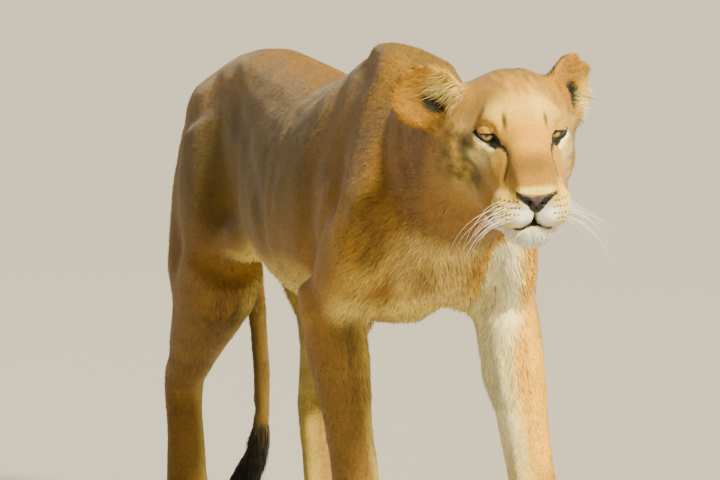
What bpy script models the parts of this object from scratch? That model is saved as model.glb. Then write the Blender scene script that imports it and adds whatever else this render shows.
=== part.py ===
"""A life-size lioness walking slowly, as a still model.

It is laid out with +X ahead of the animal, +Y to its left and +Z up, in metres, and stands on the
floor at z = 0. The flesh is laid up from lofts and muscle shapes between named joints, fused and
smoothed into one body, and parted into its named pieces by thin cuts. An empty then turns the
whole to face -Y.
"""

import math

import bmesh
import bpy
import numpy as np
from mathutils import Euler, Matrix, Vector

# ---------------------------------------------------------------- driving sizes, metres
# joints of each side, as (ahead, out from the middle, up)
JOINTS = {
    "left": {
        "withers": (0.385, 0.046, 0.940),
        "shoulder": (0.540, 0.118, 0.700),
        "elbow": (0.480, 0.134, 0.555),
        "wrist": (0.630, 0.138, 0.205),
        "knuckle": (0.662, 0.134, 0.060),
        "hip": (-0.425, 0.086, 0.780),
        "knee": (-0.262, 0.116, 0.535),
        "hock": (-0.445, 0.122, 0.265),
        "toe": (-0.362, 0.116, 0.058),
    },
    "right": {
        "withers": (0.370, 0.030, 0.970),
        "shoulder": (0.492, 0.120, 0.690),
        "elbow": (0.340, 0.128, 0.550),
        "wrist": (0.380, 0.090, 0.200),
        "knuckle": (0.406, 0.084, 0.060),
        "hip": (-0.450, 0.086, 0.785),
        "knee": (-0.345, 0.094, 0.540),
        "hock": (-0.600, 0.088, 0.300),
        "toe": (-0.548, 0.094, 0.060),
    },
}
SIDES = {"left": 1, "right": -1}
HEAD_PLACE = Vector((0.850, 0.016, 0.883))  # midway between the eyes
HEAD_YAW, HEAD_PITCH, HEAD_ROLL = -11, 14, 2  # degrees: to its left, nose down, left ear up
EYE_RADIUS, LID = 0.0200, 0.0030
EYE = Vector((0.000, 0.0525, 0.003))  # left eyeball's centre in the head's own frame
EAR_HEIGHT, EAR_HALF_WIDTH, EAR_WALL = 0.112, 0.058, 0.010
# each ear's root in the head's frame, and how far it rolls out, sweeps and spins, in degrees
EARS = {
    "ear_left": (Vector((-0.113, 0.099, -0.016)), (-24, -7, 41)),
    "ear_right": (Vector((-0.096, -0.094, 0.004)), (58, -8, -7)),
}
VOXEL = 0.006
HEAD_REACH, PAW_REACH = -0.13, 0.095  # the finer surface: behind the eyes, above the floor
SMOOTHING, FINE_SMOOTHING = 40, 9  # passes
BODY_FACES, FINE_FACES = 2200, 2300  # triangles kept before the cuts
CUT = 0.0006  # width of the cuts that part the body
GAP = 0.0005  # between an eyeball and its socket
CRUMB = 12  # corners: less than this is a crumb of a cut, not a piece

# x, top, bottom, half width, down the middle of the body from the rump to the breast
TRUNK = [
    (-0.640, 0.822, 0.735, 0.034),
    (-0.600, 0.860, 0.680, 0.070),
    (-0.520, 0.903, 0.610, 0.096),
    (-0.420, 0.934, 0.604, 0.106),
    (-0.300, 0.948, 0.588, 0.108),
    (-0.180, 0.941, 0.560, 0.124),
    (-0.050, 0.926, 0.522, 0.145),
    (0.080, 0.918, 0.505, 0.156),
    (0.200, 0.940, 0.502, 0.154),
    (0.310, 0.984, 0.515, 0.138),
    (0.400, 0.992, 0.545, 0.118),
    (0.500, 0.950, 0.590, 0.098),
    (0.580, 0.880, 0.655, 0.060),
]
# x, y, z of the middle, half width, half height
NECK = [
    (0.360, 0.000, 0.780, 0.112, 0.190),
    (0.460, 0.000, 0.785, 0.112, 0.178),
    (0.560, 0.001, 0.803, 0.106, 0.154),
    (0.640, 0.004, 0.822, 0.102, 0.134),
    (0.710, 0.010, 0.846, 0.100, 0.122),
    (0.780, 0.014, 0.862, 0.090, 0.098),
]
TAIL = [
    (-0.560, 0.000, 0.836, 0.047, 0.044),
    (-0.622, 0.004, 0.822, 0.041, 0.042),
    (-0.662, 0.018, 0.775, 0.034, 0.035),
    (-0.680, 0.042, 0.690, 0.029, 0.030),
    (-0.680, 0.068, 0.580, 0.027, 0.027),
    (-0.674, 0.082, 0.450, 0.025, 0.025),
    (-0.666, 0.090, 0.320, 0.024, 0.024),
    (-0.666, 0.092, 0.220, 0.023, 0.023),
    (-0.674, 0.084, 0.150, 0.029, 0.029),
    (-0.690, 0.068, 0.100, 0.032, 0.032),
    (-0.712, 0.050, 0.064, 0.016, 0.016),
]
# x, top, bottom, half width in the head's own frame: skull, brow, bridge and muzzle
SKULL = [
    (-0.190, 0.024, -0.075, 0.060),
    (-0.155, 0.060, -0.105, 0.083),
    (-0.110, 0.076, -0.120, 0.097),
    (-0.065, 0.076, -0.126, 0.094),
    (-0.025, 0.068, -0.128, 0.080),
    (0.015, 0.042, -0.128, 0.066),
    (0.055, 0.014, -0.124, 0.058),
    (0.095, -0.012, -0.120, 0.052),
    (0.125, -0.034, -0.112, 0.045),
    (0.138, -0.052, -0.100, 0.030),
]
# the broad, flat bridge of the nose, the same way
BRIDGE = [
    (-0.010, 0.056, -0.050, 0.042),
    (0.035, 0.032, -0.070, 0.040),
    (0.075, 0.008, -0.090, 0.038),
    (0.115, -0.016, -0.100, 0.039),
    (0.140, -0.036, -0.095, 0.036),
]
TOES = [(-0.043, 0.046), (-0.015, 0.066), (0.015, 0.066), (0.043, 0.046)]  # across, ahead

# limb sections from joint to joint: share of the way, half width, half depth
BLADE = [(0, 0.022, 0.060), (0.3, 0.036, 0.084), (0.7, 0.046, 0.088), (1, 0.048, 0.076)]
UPPER_ARM = [(0, 0.048, 0.074), (0.5, 0.052, 0.084), (1, 0.048, 0.066)]
FOREARM = [
    (-0.14, 0.054, 0.068),
    (0.06, 0.057, 0.072),
    (0.24, 0.057, 0.070),
    (0.45, 0.050, 0.057),
    (0.70, 0.045, 0.051),
    (0.90, 0.044, 0.048),
    (1.00, 0.046, 0.046),
    (1.08, 0.046, 0.042),
]
FORE_PASTERN = [(-0.1, 0.046, 0.042), (0.5, 0.047, 0.038), (1.1, 0.054, 0.036)]
THIGH = [(0, 0.052, 0.110), (0.4, 0.068, 0.122), (0.75, 0.072, 0.108), (1, 0.066, 0.082)]
HAM = [(0, 0.036, 0.044), (0.4, 0.060, 0.068), (0.8, 0.072, 0.066), (1, 0.064, 0.056)]
SHANK = [
    (-0.10, 0.076, 0.080),
    (0.15, 0.080, 0.088),
    (0.35, 0.072, 0.078),
    (0.60, 0.058, 0.062),
    (0.85, 0.047, 0.050),
    (1.00, 0.043, 0.045),
]
TENDON = [(0, 0.022, 0.030), (1, 0.018, 0.018)]
HEEL = [(0, 0.022, 0.020), (1, 0.030, 0.026)]
HIND_PASTERN = [(0, 0.042, 0.042), (0.4, 0.041, 0.038), (0.8, 0.045, 0.036), (1.08, 0.050, 0.034)]

TAWNY, DARK, AMBER = (0.50, 0.31, 0.15), (0.06, 0.035, 0.025), (0.35, 0.20, 0.05)
# a point near the middle of each piece's surface, and the piece's colour
PIECES = {
    "head": ((0.826, 0.022, 0.846), TAWNY),
    "nose": ((0.962, 0.000, 0.799), DARK),
    "ear_left": ((0.760, 0.122, 0.949), TAWNY),
    "ear_right": ((0.727, -0.092, 0.935), TAWNY),
    "neck": ((0.650, 0.010, 0.820), TAWNY),
    "chest": ((0.420, -0.010, 0.700), TAWNY),
    "belly": ((0.000, 0.000, 0.700), TAWNY),
    "hips": ((-0.440, 0.010, 0.780), TAWNY),
    "shoulder_left": ((0.480, 0.115, 0.670), TAWNY),
    "shoulder_right": ((0.400, -0.115, 0.670), TAWNY),
    "forearm_left": ((0.565, 0.135, 0.339), TAWNY),
    "forearm_right": ((0.370, -0.110, 0.339), TAWNY),
    "forepaw_left": ((0.689, 0.135, 0.041), TAWNY),
    "forepaw_right": ((0.440, -0.085, 0.041), TAWNY),
    "thigh_left": ((-0.400, 0.102, 0.712), TAWNY),
    "thigh_right": ((-0.442, -0.095, 0.712), TAWNY),
    "shank_left": ((-0.345, 0.118, 0.420), TAWNY),
    "shank_right": ((-0.455, -0.092, 0.430), TAWNY),
    "hock_left": ((-0.425, 0.119, 0.214), TAWNY),
    "hock_right": ((-0.588, -0.088, 0.241), TAWNY),
    "hindpaw_left": ((-0.341, 0.117, 0.037), TAWNY),
    "hindpaw_right": ((-0.526, -0.092, 0.038), TAWNY),
    "tail_root": ((-0.678, 0.069, 0.543), TAWNY),
    "tail_middle": ((-0.671, 0.078, 0.305), TAWNY),
    "tail_tuft": ((-0.688, 0.073, 0.121), DARK),
}

for old in list(bpy.data.objects):
    bpy.data.objects.remove(old)

body_parts = bpy.data.collections.new("lioness")
cutters = bpy.data.collections.new("cutters")
bpy.context.scene.collection.children.link(body_parts)
bpy.context.scene.collection.children.link(cutters)
flesh = bmesh.new()


# ---------------------------------------------------------------- frames
def placed(place, turn=(0, 0, 0), frame=Matrix.Identity(4)):
    """A matrix at the place, turned by degrees, in the given frame."""
    turn = Euler([math.radians(angle) for angle in turn]).to_matrix().to_4x4()
    return frame @ Matrix.Translation(place) @ turn


HEAD_FRAME = placed(HEAD_PLACE, (HEAD_ROLL, HEAD_PITCH, HEAD_YAW))


def joints_of(word):
    """One side's joints as vectors, mirrored to that side."""
    return {name: Vector(at) * Vector((1, SIDES[word], 1)) for name, at in JOINTS[word].items()}


def between(a, b, share):
    """The point that share of the way from a to b."""
    return Vector(a).lerp(Vector(b), share)


# ---------------------------------------------------------------- shapes the flesh is made of
def smooth_run(stations, steps):
    """Each column of the stations carried through them on a Catmull-Rom curve."""
    table = np.array(stations, float)
    table = np.vstack([2 * table[0] - table[1], table, 2 * table[-1] - table[-2]])
    rows = []
    for i in range(1, len(table) - 2):
        before, here, after, beyond = table[i - 1 : i + 3]
        for t in np.arange(steps) / steps:
            rows.append(
                here
                + 0.5 * t * (after - before)
                + t**2 * (before - 2.5 * here + 2 * after - 0.5 * beyond)
                + t**3 * (1.5 * (here - after) + 0.5 * (beyond - before))
            )
    return np.array(rows + [table[-2]])


def loft(stations, taper=0.0, square=2.0, steps=4, sides=20, frame=Matrix.Identity(4)):
    """A closed tube through (x, y, z, half width, half height) stations.

    A positive taper widens the upper half, and square is the exponent of the round section."""
    rows = smooth_run(stations, steps)
    way = np.gradient(rows[:, :3], axis=0)
    rings = []
    for row, heading in zip(rows, way):
        along = Vector(heading).normalized()
        side = (Vector((0, 1, 0)) - along * along.y).normalized()
        up = along.cross(side)
        at_end = len(rings) in (0, len(rows) - 1)
        corners = bmesh.ops.create_circle(flesh, cap_ends=at_end, segments=sides, radius=1)["verts"]
        for k, corner in enumerate(corners):
            c, s = math.cos(2 * math.pi * k / sides), math.sin(2 * math.pi * k / sides)
            across = math.copysign(abs(c) ** (2 / square), c) * (1 + taper * s)
            high = math.copysign(abs(s) ** (2 / square), s)
            corner.co = frame @ (Vector(row[:3]) + side * (across * row[3]) + up * (high * row[4]))
        ring = set(corners)
        rings.append([e for e in {e for v in ring for e in v.link_edges} if set(e.verts) <= ring])
    for one, other in zip(rings, rings[1:]):
        bmesh.ops.bridge_loops(flesh, edges=one + other)


def ball(centre, radii, turn=(0, 0, 0), frame=Matrix.Identity(4)):
    """An ellipsoid of the given half axes, turned by degrees, in the given frame."""
    place = placed(centre, turn, frame) @ Matrix.Diagonal((*radii, 1))
    bmesh.ops.create_icosphere(flesh, subdivisions=4, radius=1, matrix=place)


def limb(a, b, sections):
    """A loft from a to b through (share of the way, half width, half depth)."""
    loft([(*between(a, b, share), width, depth) for share, width, depth in sections])


def upright(stations):
    """Stations given by top and bottom as stations given by middle and half height."""
    return [(x, 0, (top + low) / 2, width, (top - low) / 2) for x, top, low, width in stations]


# ---------------------------------------------------------------- trunk and neck
def trunk():
    loft(upright(TRUNK), taper=-0.12, square=2.2, sides=28)
    loft(NECK, taper=-0.06, square=2.1, sides=24)
    ball((0.515, 0, 0.658), (0.078, 0.088, 0.090))  # point of the breast
    ball((0.270, 0, 0.560), (0.170, 0.080, 0.055))  # breastbone between the legs
    for side in SIDES.values():
        ball((0.450, side * 0.062, 0.615), (0.085, 0.060, 0.072))  # breast muscle
        ball((-0.395, side * 0.046, 0.876), (0.080, 0.034, 0.034), (0, 8, 0))  # hip bone
        ball((-0.390, side * 0.046, 0.652), (0.110, 0.048, 0.066))  # groin
        belly_end = (-0.140, side * 0.084, 0.598, 0.034, 0.030)
        knee_end = (-0.330, side * 0.108, 0.600, 0.038, 0.050)
        loft([belly_end, knee_end])  # loose skin from the flank to the knee


# ---------------------------------------------------------------- legs
def foreleg(word):
    """Blade, upper arm, forearm, pastern and paw."""
    side, at = SIDES[word], joints_of(word)
    withers, shoulder, elbow, wrist = at["withers"], at["shoulder"], at["elbow"], at["wrist"]
    limb(withers, shoulder, BLADE)
    ball(withers, (0.080, 0.034, 0.030), (0, 12, 0))
    limb(shoulder, elbow, UPPER_ARM)
    back_of_arm = between(between(withers, shoulder, 0.60), elbow, 0.5) + Vector((-0.040, 0, 0))
    ball(back_of_arm, (0.088, 0.048, 0.125), (0, -14, 0))
    ball(shoulder + Vector((0.004, -0.010 * side, 0.006)), (0.058, 0.050, 0.072))
    ball(elbow + Vector((-0.036, 0, 0.014)), (0.028, 0.026, 0.038), (0, -15, 0))
    limb(elbow, wrist, FOREARM)
    back_of_forearm = between(elbow, wrist, 0.30) + Vector((-0.030, -0.016 * side, 0))
    ball(back_of_forearm, (0.036, 0.038, 0.080), (0, -22, 0))
    limb(wrist, at["knuckle"], FORE_PASTERN)
    ball(wrist + Vector((-0.040, 0.006 * side, -0.006)), (0.017, 0.015, 0.022))  # wrist pad
    paw(at["knuckle"], 1.06)


def hindleg(word):
    """Haunch, shank, hock, pastern and paw."""
    side, at = SIDES[word], joints_of(word)
    hip, knee, hock, toe = at["hip"], at["knee"], at["hock"], at["toe"]
    ball(hip + Vector((-0.010, -0.028 * side, -0.016)), (0.135, 0.062, 0.112), (0, 12, 0))
    limb(hip, knee, THIGH)
    ball(between(knee, hip, 0.08) + Vector((0.026, 0, 0)), (0.046, 0.044, 0.054))  # kneecap
    limb((-0.585, 0.058 * side, 0.790), between(knee, hock, 0.34) + Vector((-0.026, 0, 0)), HAM)
    limb(knee, hock, SHANK)
    heel = hock + Vector((-0.044, 0, 0.034))
    limb(between(knee, hock, 0.45) + Vector((-0.052, 0, 0)), heel, TENDON)
    ball(heel, (0.020, 0.020, 0.024))
    limb(heel, hock + Vector((-0.014, 0, -0.060)), HEEL)
    ball(hock, (0.040, 0.037, 0.046))
    limb(hock, toe, HIND_PASTERN)
    paw(toe, 0.98)


def paw(knuckle, size):
    """Four toes and the main pad, set down on the floor below the knuckle joint."""
    base = Vector((knuckle.x, knuckle.y, 0))
    ball(base + Vector((0.004, 0, 0.030)) * size, Vector((0.052, 0.052, 0.036)) * size)
    ball(base + Vector((-0.014, 0, 0.012)) * size, Vector((0.034, 0.040, 0.020)) * size)
    for across, ahead in TOES:
        root = base + Vector((0.004, across * 0.72, 0.047)) * size
        bend = base + Vector((ahead * 0.62, across * 0.95, 0.041)) * size
        tip = base + Vector((ahead + 0.010, across * 1.05, 0.016)) * size
        rows = [
            (*root, 0.0170 * size, 0.0180 * size),
            (*bend, 0.0175 * size, 0.0205 * size),
            (*tip, 0.0155 * size, 0.0185 * size),
        ]
        loft(rows, steps=5, sides=14)
        ball(tip, Vector((0.0170, 0.0155, 0.0185)) * size)


# ---------------------------------------------------------------- head and ears
def head_ball(x, y, z, radii, turn=(0, 0, 0)):
    """The same ellipsoid on both sides of the head, or one on its middle line."""
    for side in SIDES.values() if y else (1,):
        ball((x, y * side, z), radii, (turn[0] * side, turn[1], turn[2] * side), HEAD_FRAME)


def head():
    loft(upright(SKULL), taper=-0.12, square=2.25, sides=24, frame=HEAD_FRAME)
    loft(upright(BRIDGE), square=3.4, sides=24, frame=HEAD_FRAME)
    head_ball(-0.024, 0.064, -0.026, (0.062, 0.028, 0.038), (0, 8, -12))  # cheek bone
    head_ball(-0.078, 0.060, -0.070, (0.062, 0.042, 0.058), (0, 20, -6))  # jaw muscle
    head_ball(-0.105, 0.058, 0.012, (0.056, 0.040, 0.044))  # temple muscle
    head_ball(0.000, 0.046, -0.090, (0.072, 0.034, 0.046), (0, 0, -8))  # cheek
    head_ball(EYE.x + 0.002, EYE.y, EYE.z, [EYE_RADIUS + LID] * 3)  # eyelids
    head_ball(0.000, 0.040, 0.023, (0.040, 0.029, 0.018), (12, 34, -14))  # brow
    head_ball(0.045, 0.042, -0.050, (0.056, 0.026, 0.042), (0, 24, -10))  # side of the face
    head_ball(0.094, 0.032, -0.084, (0.048, 0.034, 0.038), (0, 14, -8))  # whisker pad
    head_ball(0.130, 0.014, -0.060, (0.018, 0.024, 0.020))  # nose pad
    head_ball(0.090, 0, -0.128, (0.038, 0.040, 0.032), (0, -6, 0))  # chin
    head_ball(0.015, 0.036, -0.118, (0.085, 0.030, 0.028), (0, -4, 8))  # lower jaw
    head_ball(-0.140, 0.066, -0.055, (0.050, 0.050, 0.070))  # ruff behind the jaw


def ear_frame(name):
    place, turn = EARS[name]
    return placed(place, turn, HEAD_FRAME)


def ear(name):
    """A round cup that opens forwards, with a thick root that runs into the skull."""
    cup = bmesh.ops.create_uvsphere(flesh, u_segments=28, v_segments=20, radius=1)["verts"]
    for corner in cup:
        x, y, z = corner.co
        bowl = -0.55 * math.sqrt(max(0.0, 1 - y * y - z * z))  # the front half folds in
        depth = 0.036 * bowl + EAR_WALL if x > 0 else 0.036 * x
        width = EAR_HALF_WIDTH * y * (1 - 0.10 * max(0.0, -z))
        corner.co = (depth, width, (EAR_HEIGHT / 2 + 0.006) * z + EAR_HEIGHT / 2 - 0.004)
    bmesh.ops.transform(flesh, matrix=ear_frame(name), verts=cup)
    ball((-0.012, 0, 0), (0.030, 0.034, 0.030), frame=ear_frame(name))


# ---------------------------------------------------------------- fusing, smoothing, carving
def worked(obj):
    """The object's modifiers are worked into its mesh."""
    graph = bpy.context.evaluated_depsgraph_get()
    obj.data = bpy.data.meshes.new_from_object(obj.evaluated_get(graph))
    obj.modifiers.clear()


def fuse():
    """One closed body from the overlapping flesh."""
    mesh = bpy.data.meshes.new("flesh")
    bmesh.ops.recalc_face_normals(flesh, faces=flesh.faces)
    flesh.to_mesh(mesh)
    flesh.free()
    whole = bpy.data.objects.new("flesh", mesh)
    bpy.context.scene.collection.objects.link(whole)
    remesh = whole.modifiers.new("fuse", "REMESH")
    remesh.mode, remesh.voxel_size = "VOXEL", VOXEL
    worked(whole)
    return whole


def mark_fine(whole):
    """The corners of the head, ears and paws, which keep finer shapes than the rest."""
    inverse = HEAD_FRAME.inverted()
    chosen = []
    for corner in whole.data.vertices:
        local = inverse @ corner.co
        if local.x > HEAD_REACH and abs(local.z) < 0.22 or corner.co.z < PAW_REACH:
            chosen.append(corner.index)
    whole.vertex_groups.new(name="fine").add(chosen, 1.0, "REPLACE")
    return set(chosen)


def ease(whole):
    """Rounds the joins between muscles, gently on the head and paws."""
    for iterations, group in ((SMOOTHING, "fine"), (FINE_SMOOTHING, "")):
        smooth = whole.modifiers.new("ease", "SMOOTH")
        smooth.factor, smooth.iterations = 0.5, iterations
        smooth.vertex_group, smooth.invert_vertex_group = group, bool(group)
    worked(whole)


def push(mesh, centre, radius, shift):
    """Moves the surface about centre by shift, fading to nothing at radius."""
    at = np.empty(len(mesh.vertices) * 3)
    mesh.vertices.foreach_get("co", at)
    at = at.reshape(-1, 3)
    near = np.clip(1 - np.linalg.norm(at - np.array(centre), axis=1) / radius, 0, 1)
    at += (near**2 * (3 - 2 * near))[:, None] * np.array(shift)
    mesh.vertices.foreach_set("co", at.ravel())
    mesh.update()


def triangles_in(mesh, marks=None):
    """How many triangles the mesh has, or has between its marked corners."""
    faces = (p.vertices for p in mesh.polygons)
    return sum(len(f) - 2 for f in faces if marks is None or all(v in marks for v in f))


def thin(whole, marks):
    """Fewer faces: a fine share for the head, ears and paws, and a coarse one elsewhere."""
    fine = triangles_in(whole.data, marks)
    coarse = triangles_in(whole.data) - fine
    for invert, target, share in ((True, BODY_FACES, coarse), (False, FINE_FACES, fine)):
        total = triangles_in(whole.data)
        fewer = whole.modifiers.new("thin", "DECIMATE")
        fewer.vertex_group, fewer.invert_vertex_group = "fine", invert
        fewer.ratio = (total - share + target) / total
        worked(whole)


# ---------------------------------------------------------------- cutters
def cutter(name, matrix, wall, fill):
    """A cutter from the mesh that fill(bm) makes, hollowed to a thin wall if one is given."""
    shape = bmesh.new()
    fill(shape)
    mesh = bpy.data.meshes.new(name)
    shape.to_mesh(mesh)
    shape.free()
    mesh.transform(matrix)
    obj = bpy.data.objects.new(name, mesh)
    cutters.objects.link(obj)
    obj.hide_render, obj.display_type = True, "WIRE"
    if wall:
        hollow = obj.modifiers.new("wall", "SOLIDIFY")
        hollow.thickness, hollow.offset = wall, 0


def oval(name, matrix, radii, wall=CUT):
    def fill(bm):
        bmesh.ops.create_icosphere(bm, subdivisions=2, radius=1)

    cutter(name, matrix @ Matrix.Diagonal((*radii, 1)), wall, fill)


def drum(name, matrix, radii):
    """An oval drum's wall and ends: radii are its two half widths and its half height."""

    def fill(bm):
        bmesh.ops.create_cone(bm, cap_ends=True, segments=32, radius1=1, radius2=1, depth=2)

    cutter(name, matrix @ Matrix.Diagonal((*radii, 1)), CUT, fill)


def plate(name, matrix, width, height, thickness=CUT):
    """A thin plate that lies across its matrix's x axis."""

    def fill(bm):
        bmesh.ops.create_cube(bm, size=1)

    cutter(name, matrix @ Matrix.Diagonal((thickness, width, height, 1)), 0, fill)


def plate_across(name, a, b, share, size):
    """A square plate across the way from a to b."""
    turn = (Vector(b) - Vector(a)).to_track_quat("X", "Z").to_matrix().to_4x4()
    plate(name, Matrix.Translation(between(a, b, share)) @ turn, size, size)


def leg_cuts(word):
    """The shoulder and the haunch come out as leaning drums, and plates part the legs below."""
    side, at = SIDES[word], joints_of(word)
    middle = between(at["withers"], at["elbow"], 0.5).x + 0.020
    lean = placed((middle, 0.190 * side, 0.705), (90 - 8 * side, 0, 0))
    drum("shoulder_cut_" + word, lean, (0.165, 0.235, 0.120))
    hip, knee = at["hip"], at["knee"]
    middle = between(hip, knee, 0.5)
    tip = math.degrees(math.atan2(hip.x - knee.x, hip.z - knee.z))
    lean = placed((middle.x - 0.018, 0.164 * side, middle.z + 0.032), (90 - 13 * side, tip, 0))
    drum("haunch_cut_" + word, lean, (0.218, 0.252, 0.1225))
    plate_across("wrist_cut_" + word, at["wrist"], at["knuckle"], 0.30, 0.17)
    plate_across("hock_cut_" + word, at["knee"], at["hock"], 0.93, 0.19)
    plate_across("heel_cut_" + word, at["hock"], at["toe"], 0.72, 0.15)


def head_cuts():
    """Ears, nose pad and eye sockets with the slits between the lids."""
    for word, side in SIDES.items():
        root = ear_frame("ear_" + word)
        oval("ear_cut_" + word, placed((0, 0, 0.063), frame=root), (0.054, 0.082, 0.071))
        eye = Vector((EYE.x, EYE.y * side, EYE.z))
        oval("socket_" + word, placed(eye, frame=HEAD_FRAME), [EYE_RADIUS + GAP] * 3, 0)
        slit = placed(eye + Vector((0.022, 0.002 * side, 0)), (12 * side, 0, 14 * side), HEAD_FRAME)
        oval("slit_" + word, slit, (0.024, 0.0275, 0.0095), 0)
    oval("nose_cut", placed((0.150, 0, -0.060), (0, -10, 0), HEAD_FRAME), (0.026, 0.040, 0.024))


def trunk_cuts():
    plate("head_cut", placed((0.694, 0.02, 0.85), (0, 4, -6)), 0.34, 0.36)
    plate("neck_cut", placed((0.612, 0.005, 0.80), (0, -12, 0)), 0.34, 0.46)
    plate("chest_cut", placed((0.185, 0, 0.72)), 0.40, 0.56)
    plate("loin_cut", placed((-0.128, 0, 0.72)), 0.40, 0.56)
    plate_across("tail_cut_1", TAIL[3][:3], TAIL[4][:3], 0.1, 0.078)
    plate_across("tail_cut_2", TAIL[5][:3], TAIL[6][:3], 0.3, 0.078)
    plate_across("tail_cut_3", TAIL[7][:3], TAIL[8][:3], 0.3, 0.090)
    plate("floor_cut", placed((0, 0, -0.05)), 1, 0.1, thickness=2)


# ---------------------------------------------------------------- pieces
def paint(name, colour, roughness):
    material = bpy.data.materials.new(name)
    material.use_nodes = True
    shader = material.node_tree.nodes["Principled BSDF"]
    shader.inputs["Base Color"].default_value = (*colour, 1)
    shader.inputs["Roughness"].default_value = roughness
    return material


def add_piece(name, mesh, colour, roughness, stand):
    piece = bpy.data.objects.new(name, mesh)
    mesh.materials.clear()
    mesh.materials.append(paint(name, colour, roughness))
    mesh.shade_smooth()
    mesh.set_sharp_from_angle(angle=math.radians(50))
    body_parts.objects.link(piece)
    piece.parent = stand


def loose_bodies(mesh):
    """The corner numbers of each separate body in the mesh."""
    parent = list(range(len(mesh.vertices)))

    def root(i):
        while parent[i] != i:
            parent[i] = parent[parent[i]]
            i = parent[i]
        return i

    for edge in mesh.edges:
        a, b = (root(i) for i in edge.vertices)
        parent[max(a, b)] = min(a, b)
    bodies = {}
    for i in range(len(parent)):
        bodies.setdefault(root(i), []).append(i)
    return list(bodies.values())


def part_pieces(whole, stand):
    """Each loose body becomes the piece whose own point is nearest."""
    for cut_by in cutters.objects:
        cut = whole.modifiers.new(cut_by.name, "BOOLEAN")
        cut.object, cut.operation, cut.solver = cut_by, "DIFFERENCE", "EXACT"
        cut.use_self = True  # the fused flesh may touch itself in a fold
    worked(whole)
    found = {}
    for corners in loose_bodies(whole.data):
        if len(corners) < CRUMB:
            continue
        middle = sum((whole.data.vertices[i].co for i in corners), Vector()) / len(corners)
        name = min(PIECES, key=lambda n: (Vector(PIECES[n][0]) - middle).length)
        if name in found:
            raise ValueError("a cut has left two bodies for " + name)
        found[name] = set(corners)
    for name, keep in found.items():
        piece = bmesh.new()
        piece.from_mesh(whole.data)
        piece.verts.ensure_lookup_table()
        drop = [v for v in piece.verts if v.index not in keep]
        bmesh.ops.delete(piece, geom=drop, context="VERTS")
        mesh = bpy.data.meshes.new(name)
        piece.to_mesh(mesh)
        piece.free()
        add_piece(name, mesh, PIECES[name][1], 0.35 if name == "nose" else 0.85, stand)
    bpy.data.objects.remove(whole)


def eyeball(word, stand):
    ball_mesh = bmesh.new()
    eye = Vector((EYE.x, EYE.y * SIDES[word], EYE.z))
    place = placed(eye, frame=HEAD_FRAME)
    bmesh.ops.create_icosphere(ball_mesh, subdivisions=2, radius=EYE_RADIUS, matrix=place)
    mesh = bpy.data.meshes.new("eye_" + word)
    ball_mesh.to_mesh(mesh)
    ball_mesh.free()
    add_piece("eye_" + word, mesh, AMBER, 0.15, stand)


def centred_stand(whole):
    """An empty that turns the model to face -Y with its box centred on the origin."""
    low = [min(v.co[i] for v in whole.data.vertices) for i in range(2)]
    high = [max(v.co[i] for v in whole.data.vertices) for i in range(2)]
    middle_x, middle_y = ((a + b) / 2 for a, b in zip(low, high))
    stand = bpy.data.objects.new("stand", None)
    body_parts.objects.link(stand)
    stand.rotation_euler = (0, 0, math.radians(-90))
    stand.location = (-middle_y, middle_x, 0)
    return stand


# ---------------------------------------------------------------- build
trunk()
for word in SIDES:
    foreleg(word)
    hindleg(word)
    ear("ear_" + word)
loft(TAIL, sides=16)
head()
whole = fuse()
fine_corners = mark_fine(whole)
ease(whole)
for side in SIDES.values():
    push(whole.data, (-0.235, 0.150 * side, 0.700), 0.110, (0, -0.016 * side, 0))  # hollow flank
thin(whole, fine_corners)
for word in SIDES:
    leg_cuts(word)
head_cuts()
trunk_cuts()
stand = centred_stand(whole)
part_pieces(whole, stand)
for word in SIDES:
    eyeball(word, stand)
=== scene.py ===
"""The looks of a life-size lioness: one hide over the flesh, her eyes, nose, claws, whiskers and coat.

The frame faces -Y, with +X to her left and +Z up, in metres, and stands on the floor at z = 0.
"""

import heapq
import math

import bmesh
import bpy
import numpy as np
from mathutils import Euler, Matrix, Vector
from mathutils.bvhtree import BVHTree


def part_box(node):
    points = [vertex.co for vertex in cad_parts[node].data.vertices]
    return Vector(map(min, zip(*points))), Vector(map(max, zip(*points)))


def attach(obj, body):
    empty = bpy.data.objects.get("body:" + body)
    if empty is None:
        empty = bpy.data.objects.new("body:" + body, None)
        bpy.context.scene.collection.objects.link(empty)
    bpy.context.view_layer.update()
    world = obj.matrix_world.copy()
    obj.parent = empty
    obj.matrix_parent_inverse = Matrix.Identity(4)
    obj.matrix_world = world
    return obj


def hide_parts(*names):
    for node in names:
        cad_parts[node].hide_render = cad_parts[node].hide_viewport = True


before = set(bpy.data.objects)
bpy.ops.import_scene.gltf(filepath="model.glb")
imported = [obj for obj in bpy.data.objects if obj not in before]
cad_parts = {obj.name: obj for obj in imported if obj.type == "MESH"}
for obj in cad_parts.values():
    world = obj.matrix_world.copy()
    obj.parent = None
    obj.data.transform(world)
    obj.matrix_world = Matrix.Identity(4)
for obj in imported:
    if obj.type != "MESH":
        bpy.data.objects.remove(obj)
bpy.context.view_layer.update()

# ---------------------------------------------------------------- camera
# A long lens, low and a little to her right. Its aim is set out from the point midway between her
# eyes, which also carries the head's own frame: x ahead, y to her left, z up.
AIM_FROM_EYES = Vector((-0.0893, 0.5177, -0.2259))
DISTANCE = 9.055
HEAD_TURN = (2, 14, -101)  # degrees
EYE_RISE = 0.003  # how far the eyeballs' centres are above the head's own middle


def middle_of(node):
    """The middle of a CAD node's box."""
    low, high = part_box(node)
    return (Vector(low) + Vector(high)) / 2


def placed(place, turn=(0, 0, 0), parent=Matrix.Identity(4)):
    """A matrix at the place, turned by degrees, in the parent frame."""
    turn = Euler([math.radians(angle) for angle in turn]).to_matrix().to_4x4()
    return parent @ Matrix.Translation(place) @ turn


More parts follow.
